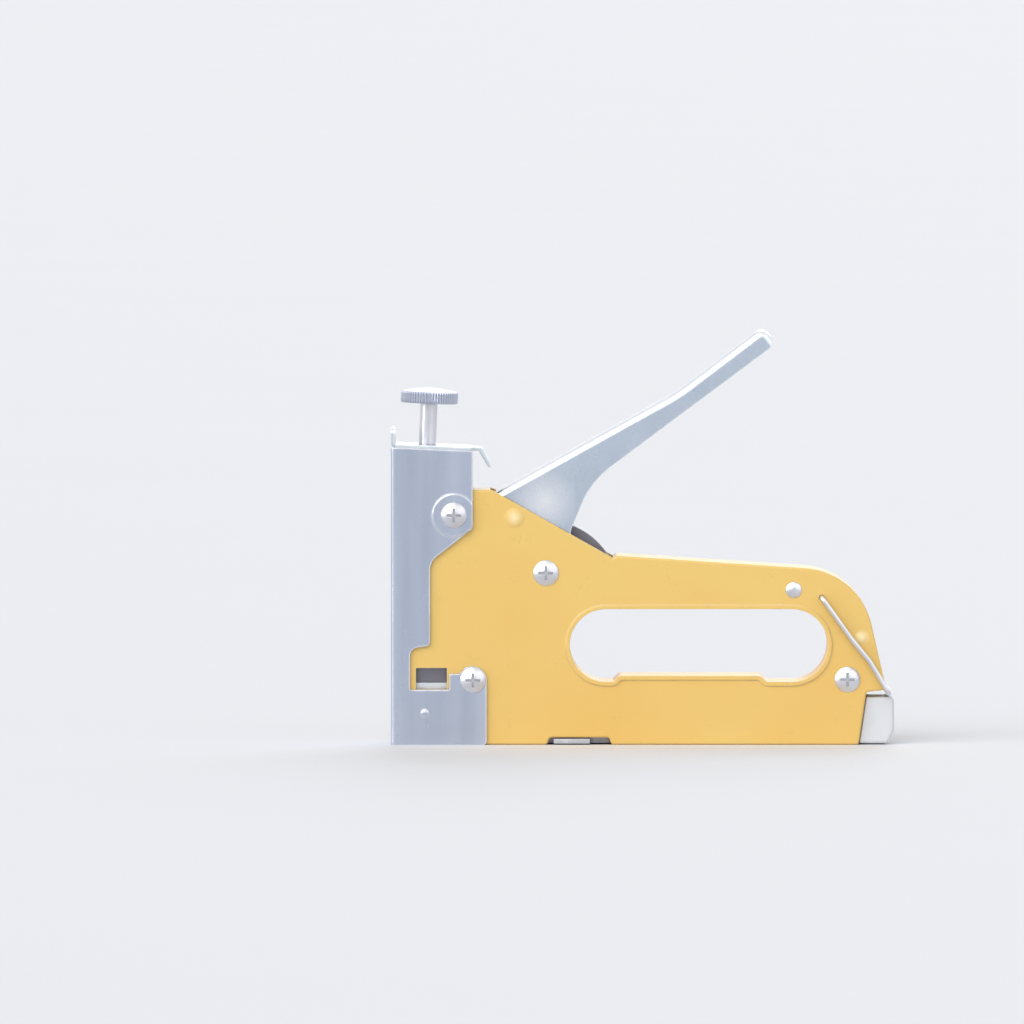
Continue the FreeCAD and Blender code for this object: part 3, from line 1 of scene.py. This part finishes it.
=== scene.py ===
import bmesh
import bpy
import json
import math
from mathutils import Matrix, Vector


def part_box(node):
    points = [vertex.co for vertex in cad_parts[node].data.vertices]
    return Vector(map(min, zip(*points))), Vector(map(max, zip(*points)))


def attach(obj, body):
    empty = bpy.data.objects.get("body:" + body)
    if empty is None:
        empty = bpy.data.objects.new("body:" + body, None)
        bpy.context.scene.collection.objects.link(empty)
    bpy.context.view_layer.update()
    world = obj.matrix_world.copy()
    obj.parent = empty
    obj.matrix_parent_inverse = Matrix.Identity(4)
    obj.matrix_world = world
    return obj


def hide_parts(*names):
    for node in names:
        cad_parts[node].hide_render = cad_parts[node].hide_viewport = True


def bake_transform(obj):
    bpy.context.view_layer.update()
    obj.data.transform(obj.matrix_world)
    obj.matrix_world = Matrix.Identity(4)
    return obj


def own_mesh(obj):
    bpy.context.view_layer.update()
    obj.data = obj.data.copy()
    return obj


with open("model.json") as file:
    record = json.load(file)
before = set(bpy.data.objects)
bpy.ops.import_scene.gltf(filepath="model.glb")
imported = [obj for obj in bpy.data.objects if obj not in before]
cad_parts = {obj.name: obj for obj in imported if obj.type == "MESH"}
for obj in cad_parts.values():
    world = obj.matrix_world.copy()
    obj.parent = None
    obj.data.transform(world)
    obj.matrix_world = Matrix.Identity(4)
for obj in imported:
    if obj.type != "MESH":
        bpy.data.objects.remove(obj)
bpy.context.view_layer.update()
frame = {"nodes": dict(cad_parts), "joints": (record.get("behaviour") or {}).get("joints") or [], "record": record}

# Upholstery stapler, in metres. X runs from the nose to the rear, Z up, and the photograph looks along +Y.
nodes = frame["nodes"]

# Colours, as linear red, green and blue
PAINT = (0.84, 0.57, 0.165)
PAINT_DEEP = (0.83, 0.52, 0.13)
# Painted highlight on the paint's edges and bumps
PAINT_HIGHLIGHT = (0.97, 0.80, 0.44)
CHROME = (0.60, 0.65, 0.755)
CHROME_DIM = (0.49, 0.54, 0.65)
# Painted highlight on metal edges and near the lever's root
CHROME_HIGHLIGHT = (0.94, 0.95, 0.97)
LEVER = (0.62, 0.69, 0.78)
LEVER_DIM = (0.53, 0.60, 0.69)
# Painted highlight on the lever's edges and upward faces
LEVER_HIGHLIGHT = (0.80, 0.83, 0.87)
PLATE = (0.80, 0.87, 0.91)
PLATE_DIM = (0.70, 0.77, 0.81)
KNOB = (0.56, 0.60, 0.71)
KNOB_DIM = (0.47, 0.51, 0.61)
BRIGHT = (0.77, 0.77, 0.81)
BRIGHT_DIM = (0.67, 0.67, 0.71)
ZINC = (0.86, 0.89, 0.93)
ZINC_DIM = (0.79, 0.82, 0.86)
TURNED = (0.50, 0.50, 0.52)
TURNED_DIM = (0.40, 0.40, 0.41)
HARDENED = (0.27, 0.265, 0.30)
HARDENED_DIM = (0.18, 0.175, 0.19)
SPRING = (0.33, 0.33, 0.35)
SPRING_DIM = (0.22, 0.22, 0.23)
CAP = (0.73, 0.74, 0.765)
CAP_DIM = (0.67, 0.68, 0.705)
# Hand grime, and painted shade in the paint's seams
GRIME_AND_SHADE = (0.20, 0.13, 0.07)
SHADE = (0.10, 0.10, 0.12)
FLOOR = (0.80, 0.805, 0.82)
SKY = (0.88, 0.91, 0.98)
HORIZON = (0.66, 0.68, 0.73)
OVERHEAD = (0.95, 0.95, 0.96)

# How patterns are drawn out along X, Y and Z: under 1 draws them out
EVEN = (1.0, 1.0, 1.0)
COARSE = (0.3, 0.3, 0.3)
UPRIGHT = (1.0, 1.0, 0.08)
LENGTHWAYS = (0.08, 1.0, 1.0)
CROSSWAYS = (1.0, 0.1, 1.0)
WIPED_METAL = (1.0, 1.0, 0.35)
WIPED_CAP = (1.0, 1.0, 0.3)
FROM_THE_SIDE = (1.0, 0.0, 1.0)

# Places on the side with a painted highlight, along X and Z, and how far the painted highlight reaches
LEVER_ROOT_HIGHLIGHT = (0.0488, 0.0805)
LEVER_ROOT_HIGHLIGHT_REACH = 0.011
SHELL_BUMPS = ((0.0389, 0.0752), (0.1535, 0.0356))
BUMP_HIGHLIGHT_REACH = 0.0028
BUMP_HIGHLIGHT_SHARE = 1.1

# Shares: painted shade in slots and seams, painted highlight on painted edges, relief of the orange peel, smoother
# cap edges
SLOT_SHADE = 0.75
SEAM_SHADE = 0.25
EDGE_HIGHLIGHT = 0.9
PEEL_RELIEF = 0.6
CAP_SMOOTHING = 0.12

# Knurl on the knob's rim, with its start and end as shares of the rim's radius
KNURL_RIDGES = 64.0
KNURL_START = 0.96
KNURL_FULL = 0.99
KNURL_DEPTH = 0.00018

# Metals: tones, roughness, depth of their working marks, and width of their painted edge highlights
METALS = {
    "chrome_finish": dict(colour=CHROME, dim=CHROME_DIM, rough=0.24, relief=0.000001, stretch=UPRIGHT,
                          edge_radius=0.001, rounding=0.3),
    "bright_finish": dict(colour=BRIGHT, dim=BRIGHT_DIM, rough=0.28, relief=0.000002),
    "turned_finish": dict(colour=TURNED, dim=TURNED_DIM, edge_colour=BRIGHT, rough=0.30, relief=0.000004,
                          stretch=CROSSWAYS),
    "hardened_finish": dict(colour=HARDENED, dim=HARDENED_DIM, edge_colour=TURNED, rough=0.38,
                            relief=0.000005, stretch=LENGTHWAYS),
    "spring_finish": dict(colour=SPRING, dim=SPRING_DIM, edge_colour=TURNED, rough=0.33, relief=0.000003),
    "knob_finish": dict(colour=KNOB, dim=KNOB_DIM, rough=0.24, relief=0.000002),
    "lever_finish": dict(colour=LEVER, dim=LEVER_DIM, edge_colour=LEVER_HIGHLIGHT, rough=0.26, relief=0.0000005,
                         stretch=COARSE, edge_radius=0.0009, rounding=0.4, highlight_metallic=0.85),
    "plate_finish": dict(colour=PLATE, dim=PLATE_DIM, rough=0.30, relief=0.000001, edge_radius=0.0006),
}

# Lamps: direction of their light, strength and spread in degrees
LAMPS = {
    "key": ((0.45, 0.70, -0.75), 1.65, 55.0),
    "fill": ((-0.7, 0.6, -0.4), 0.45, 60.0),
    "back": ((-0.2, -0.85, -0.52), 0.85, 45.0),
    "side": ((0.9, 0.35, -0.2), 0.55, 20.0),
}
SKY_STRENGTH = 0.42
OVERHEAD_RISE = 0.7

# Floor, far larger than the view
FLOOR_RADIUS = 40.0
FLOOR_CORNERS = 128
FLOOR_DEEPER = 0.985

# Camera: image centre and width at the stapler, distance and height above the horizon
VIEW_CENTRE = Vector((0.038, -0.011, 0.077))
VIEW_WIDTH = 0.338
VIEW_DISTANCE = 5.0
VIEW_ELEVATION = math.radians(2.4)
VIEW_REACH = 200.0
SENSOR_MM = 36.0

# Sockets of a Mix node by kind of value: first, second and result
MIX_SOCKETS = {"RGBA": (6, 7, 2), "VECTOR": (4, 5, 1)}

# Distance within which two points of a cut spring count as one
WELD = 1e-7


def add_node(tree, kind, **settings):
    """A shader node with its settings; an input is named with underscores for spaces."""
    node = tree.nodes.new(kind)
    for name, value in settings.items():
        if hasattr(node, name):
            setattr(node, name, value)
        else:
            node.inputs[name.replace("_", " ")].default_value = value
    return node


def feed(tree, value, socket):
    """Links an input to a socket, or sets it to a number, vector or colour."""
    if isinstance(value, bpy.types.NodeSocket):
        tree.links.new(value, socket)
    elif socket.type == "RGBA":
        socket.default_value = (*value, 1.0)
    else:
        socket.default_value = value


def ranged(tree, source, low=0.0, high=1.0, start=0.0, full=1.0):
    """Carries a value that runs from start to full over to the range from low to high."""
    node = add_node(tree, "ShaderNodeMapRange", From_Min=start, From_Max=full, To_Min=low, To_Max=high)
    tree.links.new(source, node.inputs["Value"])
    return node.outputs["Result"]


def combined(tree, operation, first, second=0.0):
    """Result of a maths step on one or two values, each a socket or a number."""
    node = add_node(tree, "ShaderNodeMath", operation=operation)
    feed(tree, first, node.inputs[0])
    feed(tree, second, node.inputs[1])
    return node.outputs[0]


def mixed(tree, kind, share, first, second):
    """Mixes two colours or vectors by a share, each a socket or a value."""
    node = add_node(tree, "ShaderNodeMix", data_type=kind)
    first_socket, second_socket, result = MIX_SOCKETS[kind]
    feed(tree, share, node.inputs[0])
    feed(tree, first, node.inputs[first_socket])
    feed(tree, second, node.inputs[second_socket])
    return node.outputs[result]


def blended(tree, share, first, second):
    """Mixes two colours by a share."""
    return mixed(tree, "RGBA", share, first, second)


def place(tree, stretch):
    """Place on the piece itself, so that a pattern moves with it."""
    where = add_node(tree, "ShaderNodeTexCoord")
    mapping = add_node(tree, "ShaderNodeMapping", Scale=stretch)
    tree.links.new(where.outputs["Object"], mapping.inputs["Vector"])
    return mapping.outputs["Vector"]


def near(tree, centre, reach):
    """1 at a place on the side, along X and Z, and 0 from a distance on."""
    sideways = add_node(tree, "ShaderNodeVectorMath", operation="DISTANCE")
    tree.links.new(place(tree, FROM_THE_SIDE), sideways.inputs[0])
    sideways.inputs[1].default_value = (centre[0], 0.0, centre[1])
    return ranged(tree, sideways.outputs["Value"], low=1.0, high=0.0, full=reach)


def noise(tree, per_metre, detail, stretch=EVEN):
    """Cloudy pattern, with so many patches to the metre."""
    node = add_node(tree, "ShaderNodeTexNoise", Scale=per_metre, Detail=detail)
    tree.links.new(place(tree, stretch), node.inputs["Vector"])
    return node.outputs["Fac"]


def cells(tree, per_metre):
    """Random grey for each crystal-like cell."""
    node = add_node(tree, "ShaderNodeTexVoronoi", Scale=per_metre)
    tree.links.new(place(tree, EVEN), node.inputs["Vector"])
    grey = add_node(tree, "ShaderNodeRGBToBW")
    tree.links.new(node.outputs["Color"], grey.inputs["Color"])
    return grey.outputs["Val"]


def edges(tree, radius, rounding=1.0):
    """1 on sharp edges and 0 on flats, with the normal that rounds the edges by a share."""
    bevel = add_node(tree, "ShaderNodeBevel", samples=4, Radius=radius)
    surface = add_node(tree, "ShaderNodeNewGeometry")
    lean = add_node(tree, "ShaderNodeVectorMath", operation="DOT_PRODUCT")
    tree.links.new(bevel.outputs["Normal"], lean.inputs[0])
    tree.links.new(surface.outputs["Normal"], lean.inputs[1])
    rounded = mixed(tree, "VECTOR", rounding, surface.outputs["Normal"], bevel.outputs["Normal"])
    return ranged(tree, lean.outputs["Value"], start=0.995, full=0.86), rounded


def crevice_shade(tree, reach):
    """0 in the open and 1 deep in slots and corners, the mask of painted shade."""
    node = add_node(tree, "ShaderNodeAmbientOcclusion", samples=6, Distance=reach)
    return ranged(tree, node.outputs["AO"], low=1.0, high=0.0, start=0.2, full=0.75)


def bumped(tree, height, normal, depth):
    """Surface normal with relief of a depth in metres."""
    node = add_node(tree, "ShaderNodeBump", Distance=depth, Strength=1.0)
    tree.links.new(height, node.inputs["Height"])
    tree.links.new(normal, node.inputs["Normal"])
    return node.outputs["Normal"]


def new_finish(name, metallic):
    """Material of one finish, with its node tree and shader."""
    material = bpy.data.materials.new(name)
    material.use_nodes = True
    shader = material.node_tree.nodes["Principled BSDF"]
    shader.inputs["Metallic"].default_value = metallic
    return material, material.node_tree, shader


def metal(name, colour, dim, rough, relief, edge_colour=CHROME_HIGHLIGHT, stretch=EVEN, edge_radius=0.00025,
          rounding=1.0, highlight_metallic=0.45):
    """Metal with soft tarnish, fine working marks, handling marks, painted highlight on its edges and painted
    shade in its slots.
    """
    material, tree, shader = new_finish(name, metallic=1.0)
    edge, normal = edges(tree, edge_radius, rounding)
    clouds = noise(tree, per_metre=110.0, detail=2.0, stretch=stretch)
    marks = noise(tree, per_metre=900.0, detail=5.0, stretch=stretch)
    smears = noise(tree, per_metre=260.0, detail=6.0, stretch=WIPED_METAL)
    tone = blended(tree, ranged(tree, clouds, start=0.3, full=0.7), colour, dim)
    patchy = ranged(tree, smears, low=0.65, start=0.35, full=0.6)
    # Painted highlight: sharp edges lightened in patches and made less metallic
    painted_highlight = combined(tree, "MULTIPLY", edge, patchy)
    tone = blended(tree, painted_highlight, tone, edge_colour)
    # Painted shade: slots and recesses darkened by ambient occlusion
    slots = combined(tree, "MULTIPLY", crevice_shade(tree, reach=0.0012), SLOT_SHADE)
    tree.links.new(blended(tree, slots, tone, SHADE), shader.inputs["Base Color"])
    tree.links.new(ranged(tree, painted_highlight, low=1.0, high=highlight_metallic), shader.inputs["Metallic"])
    smeared = ranged(tree, smears, low=-0.05, high=0.07)
    marked = ranged(tree, marks, low=-0.03, high=0.04)
    uneven = combined(tree, "ADD", smeared, marked)
    tree.links.new(combined(tree, "ADD", uneven, rough), shader.inputs["Roughness"])
    tree.links.new(bumped(tree, marks, normal, relief), shader.inputs["Normal"])
    return material


def zinc_finish(name, shade_share):
    """Zinc-plated sheet with faint crystals, edges lighter as a painted highlight, and painted shade by a share
    where it lies deep.
    """
    material, tree, shader = new_finish(name, metallic=1.0)
    edge, normal = edges(tree, radius=0.0002)
    crystals = cells(tree, per_metre=420.0)
    clouds = noise(tree, per_metre=90.0, detail=4.0)
    grain = noise(tree, per_metre=1400.0, detail=4.0)
    cloudy = combined(tree, "MULTIPLY", crystals, clouds)
    tone = blended(tree, ranged(tree, cloudy, start=0.1, full=0.45), ZINC_DIM, ZINC)
    # Painted highlight: sharp edges lightened
    tone = blended(tree, edge, tone, BRIGHT)
    # Painted shade: deep places darkened by ambient occlusion
    deep_shade = combined(tree, "MULTIPLY", crevice_shade(tree, reach=0.005), shade_share)
    tree.links.new(blended(tree, deep_shade, tone, SHADE), shader.inputs["Base Color"])
    tree.links.new(ranged(tree, crystals, low=0.30, high=0.44), shader.inputs["Roughness"])
    tree.links.new(bumped(tree, grain, normal, depth=0.000006), shader.inputs["Normal"])
    return material


def paint_finish():
    """Satin stoved paint over steel: orange peel, painted highlight on edges and bumps, painted shade in seams, a
    few chips and hand grime.
    """
    material, tree, shader = new_finish("paint_finish", metallic=0.0)
    shader.inputs["Coat Weight"].default_value = 0.25
    shader.inputs["Coat Roughness"].default_value = 0.22
    edge, normal = edges(tree, radius=0.0005)
    clouds = noise(tree, per_metre=22.0, detail=3.0)
    peel = noise(tree, per_metre=620.0, detail=2.0)
    flecks = noise(tree, per_metre=900.0, detail=6.0)
    patches = noise(tree, per_metre=130.0, detail=5.0)
    tone = blended(tree, ranged(tree, clouds, high=0.8, start=0.35, full=0.7), PAINT, PAINT_DEEP)
    # Painted highlight on the paint's sharp edges and on the two bumps
    light = combined(tree, "MULTIPLY", edge, EDGE_HIGHLIGHT)
    for bump in SHELL_BUMPS:
        painted_highlight = combined(tree, "MULTIPLY", near(tree, bump, BUMP_HIGHLIGHT_REACH), BUMP_HIGHLIGHT_SHARE)
        light = combined(tree, "MAXIMUM", light, painted_highlight)
    tone = blended(tree, light, tone, PAINT_HIGHLIGHT)
    handled = ranged(tree, patches, start=0.58, full=0.78)
    grimy = combined(tree, "MULTIPLY", handled, ranged(tree, flecks, high=0.22, start=0.5, full=0.7))
    # Painted shade: seams and corners darkened by ambient occlusion
    seams = combined(tree, "MULTIPLY", crevice_shade(tree, reach=0.0015), SEAM_SHADE)
    tone = blended(tree, combined(tree, "MAXIMUM", grimy, seams), tone, GRIME_AND_SHADE)
    worn = combined(tree, "MULTIPLY", edge, ranged(tree, patches, start=0.56, full=0.62))
    chipped = ranged(tree, combined(tree, "MULTIPLY", worn, flecks), start=0.42, full=0.5)
    tree.links.new(blended(tree, chipped, tone, BRIGHT_DIM), shader.inputs["Base Color"])
    tree.links.new(chipped, shader.inputs["Metallic"])
    tree.links.new(ranged(tree, patches, low=0.30, high=0.46), shader.inputs["Roughness"])
    relief = combined(tree, "SUBTRACT", combined(tree, "MULTIPLY", peel, PEEL_RELIEF), chipped)
    tree.links.new(bumped(tree, relief, normal, depth=0.00003), shader.inputs["Normal"])
    return material


def cap_finish():
    """Pale moulded plastic with a fine grain, light scuffs and smoother edges."""
    material, tree, shader = new_finish("cap_finish", metallic=0.0)
    edge, normal = edges(tree, radius=0.0004)
    clouds = noise(tree, per_metre=60.0, detail=3.0)
    grain = noise(tree, per_metre=2600.0, detail=3.0)
    scuffs = noise(tree, per_metre=300.0, detail=6.0, stretch=WIPED_CAP)
    tone = blended(tree, ranged(tree, clouds, start=0.35, full=0.7), CAP, CAP_DIM)
    dirt = ranged(tree, scuffs, high=0.25, start=0.6, full=0.75)
    tree.links.new(blended(tree, dirt, tone, ZINC_DIM), shader.inputs["Base Color"])
    grained = ranged(tree, grain, low=0.42, high=0.56)
    smoother = combined(tree, "MULTIPLY", edge, CAP_SMOOTHING)
    tree.links.new(combined(tree, "SUBTRACT", grained, smoother), shader.inputs["Roughness"])
    tree.links.new(bumped(tree, grain, normal, depth=0.00002), shader.inputs["Normal"])
    return material


def knob_finish():
    """Plated knob with a fine straight knurl round its rim."""
    material = metal("knob_finish", **METALS["knob_finish"])
    tree = material.node_tree
    shader = tree.nodes["Principled BSDF"]
    low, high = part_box("power_knob")
    tilt = -math.asin(joint_named("knob_turn")["axis"][0])
    where = add_node(tree, "ShaderNodeTexCoord")
    mapping = add_node(tree, "ShaderNodeMapping", vector_type="TEXTURE", Location=(low + high) / 2,
                       Rotation=(0.0, tilt, 0.0))
    tree.links.new(where.outputs["Object"], mapping.inputs["Vector"])
    parts = add_node(tree, "ShaderNodeSeparateXYZ")
    tree.links.new(mapping.outputs["Vector"], parts.inputs["Vector"])
    turn = combined(tree, "ARCTAN2", parts.outputs["Y"], parts.outputs["X"])
    ridges = combined(tree, "SINE", combined(tree, "MULTIPLY", turn, KNURL_RIDGES))
    across = combined(tree, "MULTIPLY", parts.outputs["X"], parts.outputs["X"])
    aside = combined(tree, "MULTIPLY", parts.outputs["Y"], parts.outputs["Y"])
    reach = combined(tree, "SQRT", combined(tree, "ADD", across, aside))
    rim_radius = (high[1] - low[1]) / 2
    on_rim = ranged(tree, reach, start=rim_radius * KNURL_START, full=rim_radius * KNURL_FULL)
    normal = shader.inputs["Normal"].links[0].from_socket
    knurl = bumped(tree, combined(tree, "MULTIPLY", ridges, on_rim), normal, KNURL_DEPTH)
    tree.links.new(knurl, shader.inputs["Normal"])
    return material


def lever_finish():
    """Plated lever, with a painted highlight on its faces that turn upward and near its root."""
    material = metal("lever_finish", **METALS["lever_finish"])
    tree = material.node_tree
    shader = tree.nodes["Principled BSDF"]
    where = add_node(tree, "ShaderNodeTexCoord")
    facing = add_node(tree, "ShaderNodeSeparateXYZ")
    tree.links.new(where.outputs["Normal"], facing.inputs["Vector"])
    upward = ranged(tree, facing.outputs["Z"], full=0.5)
    tone = shader.inputs["Base Color"].links[0].from_socket
    # Painted highlight: faces turned upward made lighter, and a patch near the root
    tone = blended(tree, upward, tone, LEVER_HIGHLIGHT)
    tone = blended(tree, near(tree, LEVER_ROOT_HIGHLIGHT, LEVER_ROOT_HIGHLIGHT_REACH), tone, CHROME_HIGHLIGHT)
    tree.links.new(tone, shader.inputs["Base Color"])
    return material


def slot_finishes():
    """Material of each slot in the record."""
    slots = {
        "yellow_paint": paint_finish(),
        "zinc_sheet": zinc_finish("zinc_finish", shade_share=0.1),
        "cap_plastic": cap_finish(),
    }
    plain_metals = {
        "chrome": "chrome_finish",
        "bright_steel": "bright_finish",
        "turned_steel": "turned_finish",
        "dark_steel": "hardened_finish",
        "spring_steel": "spring_finish",
    }
    for slot, name in plain_metals.items():
        slots[slot] = metal(name, **METALS[name])
    return slots


def node_finishes():
    """Material of each CAD node that differs from its slot's."""
    return {
        "power_knob": knob_finish(),
        # Painted shade: the channel darkened strongly where it lies deep
        "magazine_channel": zinc_finish("channel_finish", shade_share=0.95),
        "lever_handle": lever_finish(),
        "top_plate": metal("plate_finish", **METALS["plate_finish"]),
    }


def dress():
    """Gives each CAD node its finish."""
    slots = slot_finishes()
    special = node_finishes()
    for part in frame["record"]["subparts"]:
        name = part["node"]
        worn = nodes[name].data.materials
        for index in range(len(worn)):
            worn[index] = special.get(name, slots[part["material_slot"]])


def copied(name, piece_name):
    """New piece with the form and finish of a CAD node."""
    piece = bpy.data.objects.new(piece_name, nodes[name].data.copy())
    bpy.context.scene.collection.objects.link(piece)
    return piece


def keep_side(piece, height, above):
    """Cuts a piece at a height and keeps what is above or below it, closed at the cut."""
    mesh = bmesh.new()
    mesh.from_mesh(piece.data)
    everything = mesh.verts[:] + mesh.edges[:] + mesh.faces[:]
    bmesh.ops.bisect_plane(mesh, geom=everything, plane_co=(0.0, 0.0, height), plane_no=(0.0, 0.0, 1.0),
                           clear_inner=above, clear_outer=not above)
    bmesh.ops.remove_doubles(mesh, verts=mesh.verts[:], dist=WELD)
    bmesh.ops.holes_fill(mesh, edges=[edge for edge in mesh.edges if edge.is_boundary])
    mesh.to_mesh(piece.data)
    mesh.free()
    piece.data.shade_smooth()


def joint_named(name):
    """A joint of the record."""
    return next(joint for joint in frame["joints"] if joint["name"] == name)


def joint_travel(name):
    """Length of a sliding joint's range."""
    low, high = joint_named(name)["range_m"]
    return high - low


def main_spring_pieces():
    """Main spring cut in two runs at a height set by the hammer's and the seat's travel, the lower for the hammer
    and the upper for the knob's seat, both fixed to the body.
    """
    low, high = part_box("main_spring")
    hammer_travel = joint_travel("driver_slide")
    seat_travel = joint_travel("adjuster_slide")
    spare = (high[2] - low[2] - hammer_travel - seat_travel) / 2
    split = high[2] - seat_travel - spare / 2
    lower = copied("main_spring", "main_spring_lower")
    keep_side(lower, split, False)
    upper = copied("main_spring", "main_spring_upper")
    keep_side(upper, split, True)
    for piece in (lower, upper):
        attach(piece, "body")
    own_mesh(lower)
    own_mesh(upper)
    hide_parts("main_spring")


def follower_spring_piece():
    """Follower spring, copied and carried by the magazine rail."""
    piece = copied("follower_spring", "follower_spring_wire")
    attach(piece, "magazine_rail")
    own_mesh(piece)
    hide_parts("follower_spring")


def return_spring_piece():
    """Torsion spring between the body and the lever, copied and left in place."""
    piece = copied("lever_return_spring", "return_spring_wire")
    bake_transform(piece)
    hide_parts("lever_return_spring")


def add_floor():
    """Plain pale floor that runs to the horizon."""
    bpy.ops.mesh.primitive_circle_add(vertices=FLOOR_CORNERS, radius=FLOOR_RADIUS, fill_type="NGON",
                                      location=(0.0, 0.0, 0.0))
    floor = bpy.context.object
    floor.name = "floor"
    material, tree, shader = new_finish("floor_finish", metallic=0.0)
    shader.inputs["Roughness"].default_value = 0.7
    shader.inputs["Specular IOR Level"].default_value = 0.15
    clouds = noise(tree, per_metre=3.0, detail=2.0)
    deeper = [channel * FLOOR_DEEPER for channel in FLOOR]
    tree.links.new(blended(tree, clouds, FLOOR, deeper), shader.inputs["Base Color"])
    floor.data.materials.append(material)


def add_lamps():
    """Broad soft lamps, each shining along its direction."""
    for name, (towards, strength, spread) in LAMPS.items():
        lamp = bpy.data.lights.new(name, "SUN")
        lamp.energy = strength
        lamp.angle = math.radians(spread)
        sun = bpy.data.objects.new(name, lamp)
        sun.rotation_euler = Vector(towards).to_track_quat("-Z", "Y").to_euler()
        bpy.context.scene.collection.objects.link(sun)


def add_sky():
    """Pale sky, seen in the floor's colour, and mirrored by metal brighter overhead and at the back."""
    world = bpy.data.worlds.new("studio")
    world.use_nodes = True
    tree = world.node_tree
    tree.nodes.clear()
    lit = add_node(tree, "ShaderNodeBackground", Color=(*SKY, 1.0), Strength=SKY_STRENGTH)
    seen = add_node(tree, "ShaderNodeBackground", Color=(*FLOOR, 1.0), Strength=1.0)
    mirrored = add_node(tree, "ShaderNodeBackground", Strength=1.0)
    where = add_node(tree, "ShaderNodeTexCoord")
    parts = add_node(tree, "ShaderNodeSeparateXYZ")
    tree.links.new(where.outputs["Generated"], parts.inputs["Vector"])
    brightest = combined(tree, "MAXIMUM", parts.outputs["Z"], parts.outputs["Y"])
    rise = ranged(tree, brightest, full=OVERHEAD_RISE)
    tree.links.new(blended(tree, rise, HORIZON, OVERHEAD), mirrored.inputs["Color"])
    ray = add_node(tree, "ShaderNodeLightPath")
    seen_ray = combined(tree, "MAXIMUM", ray.outputs["Is Camera Ray"], ray.outputs["Is Transmission Ray"])
    shown = lit.outputs[0]
    for share, sky in ((ray.outputs["Is Glossy Ray"], mirrored), (seen_ray, seen)):
        mix = add_node(tree, "ShaderNodeMixShader")
        tree.links.new(share, mix.inputs[0])
        tree.links.new(shown, mix.inputs[1])
        tree.links.new(sky.outputs[0], mix.inputs[2])
        shown = mix.outputs[0]
    output = add_node(tree, "ShaderNodeOutputWorld")
    tree.links.new(shown, output.inputs["Surface"])
    bpy.context.scene.world = world


def add_camera():
    """Camera square to the left side and a little above it, as in the photograph."""
    lens = bpy.data.cameras.new("photo_camera")
    lens.sensor_width = SENSOR_MM
    lens.lens = SENSOR_MM * VIEW_DISTANCE / VIEW_WIDTH
    lens.clip_end = VIEW_REACH
    camera = bpy.data.objects.new("photo_camera", lens)
    back = Vector((0.0, -math.cos(VIEW_ELEVATION), math.sin(VIEW_ELEVATION)))
    camera.location = VIEW_CENTRE + back * VIEW_DISTANCE
    camera.rotation_euler = (-back).to_track_quat("-Z", "Y").to_euler()
    bpy.context.scene.collection.objects.link(camera)
    bpy.context.scene.camera = camera


dress()
main_spring_pieces()
follower_spring_piece()
return_spring_piece()
add_floor()
add_lamps()
add_sky()
add_camera()
bpy.context.scene.view_settings.view_transform = "Standard"
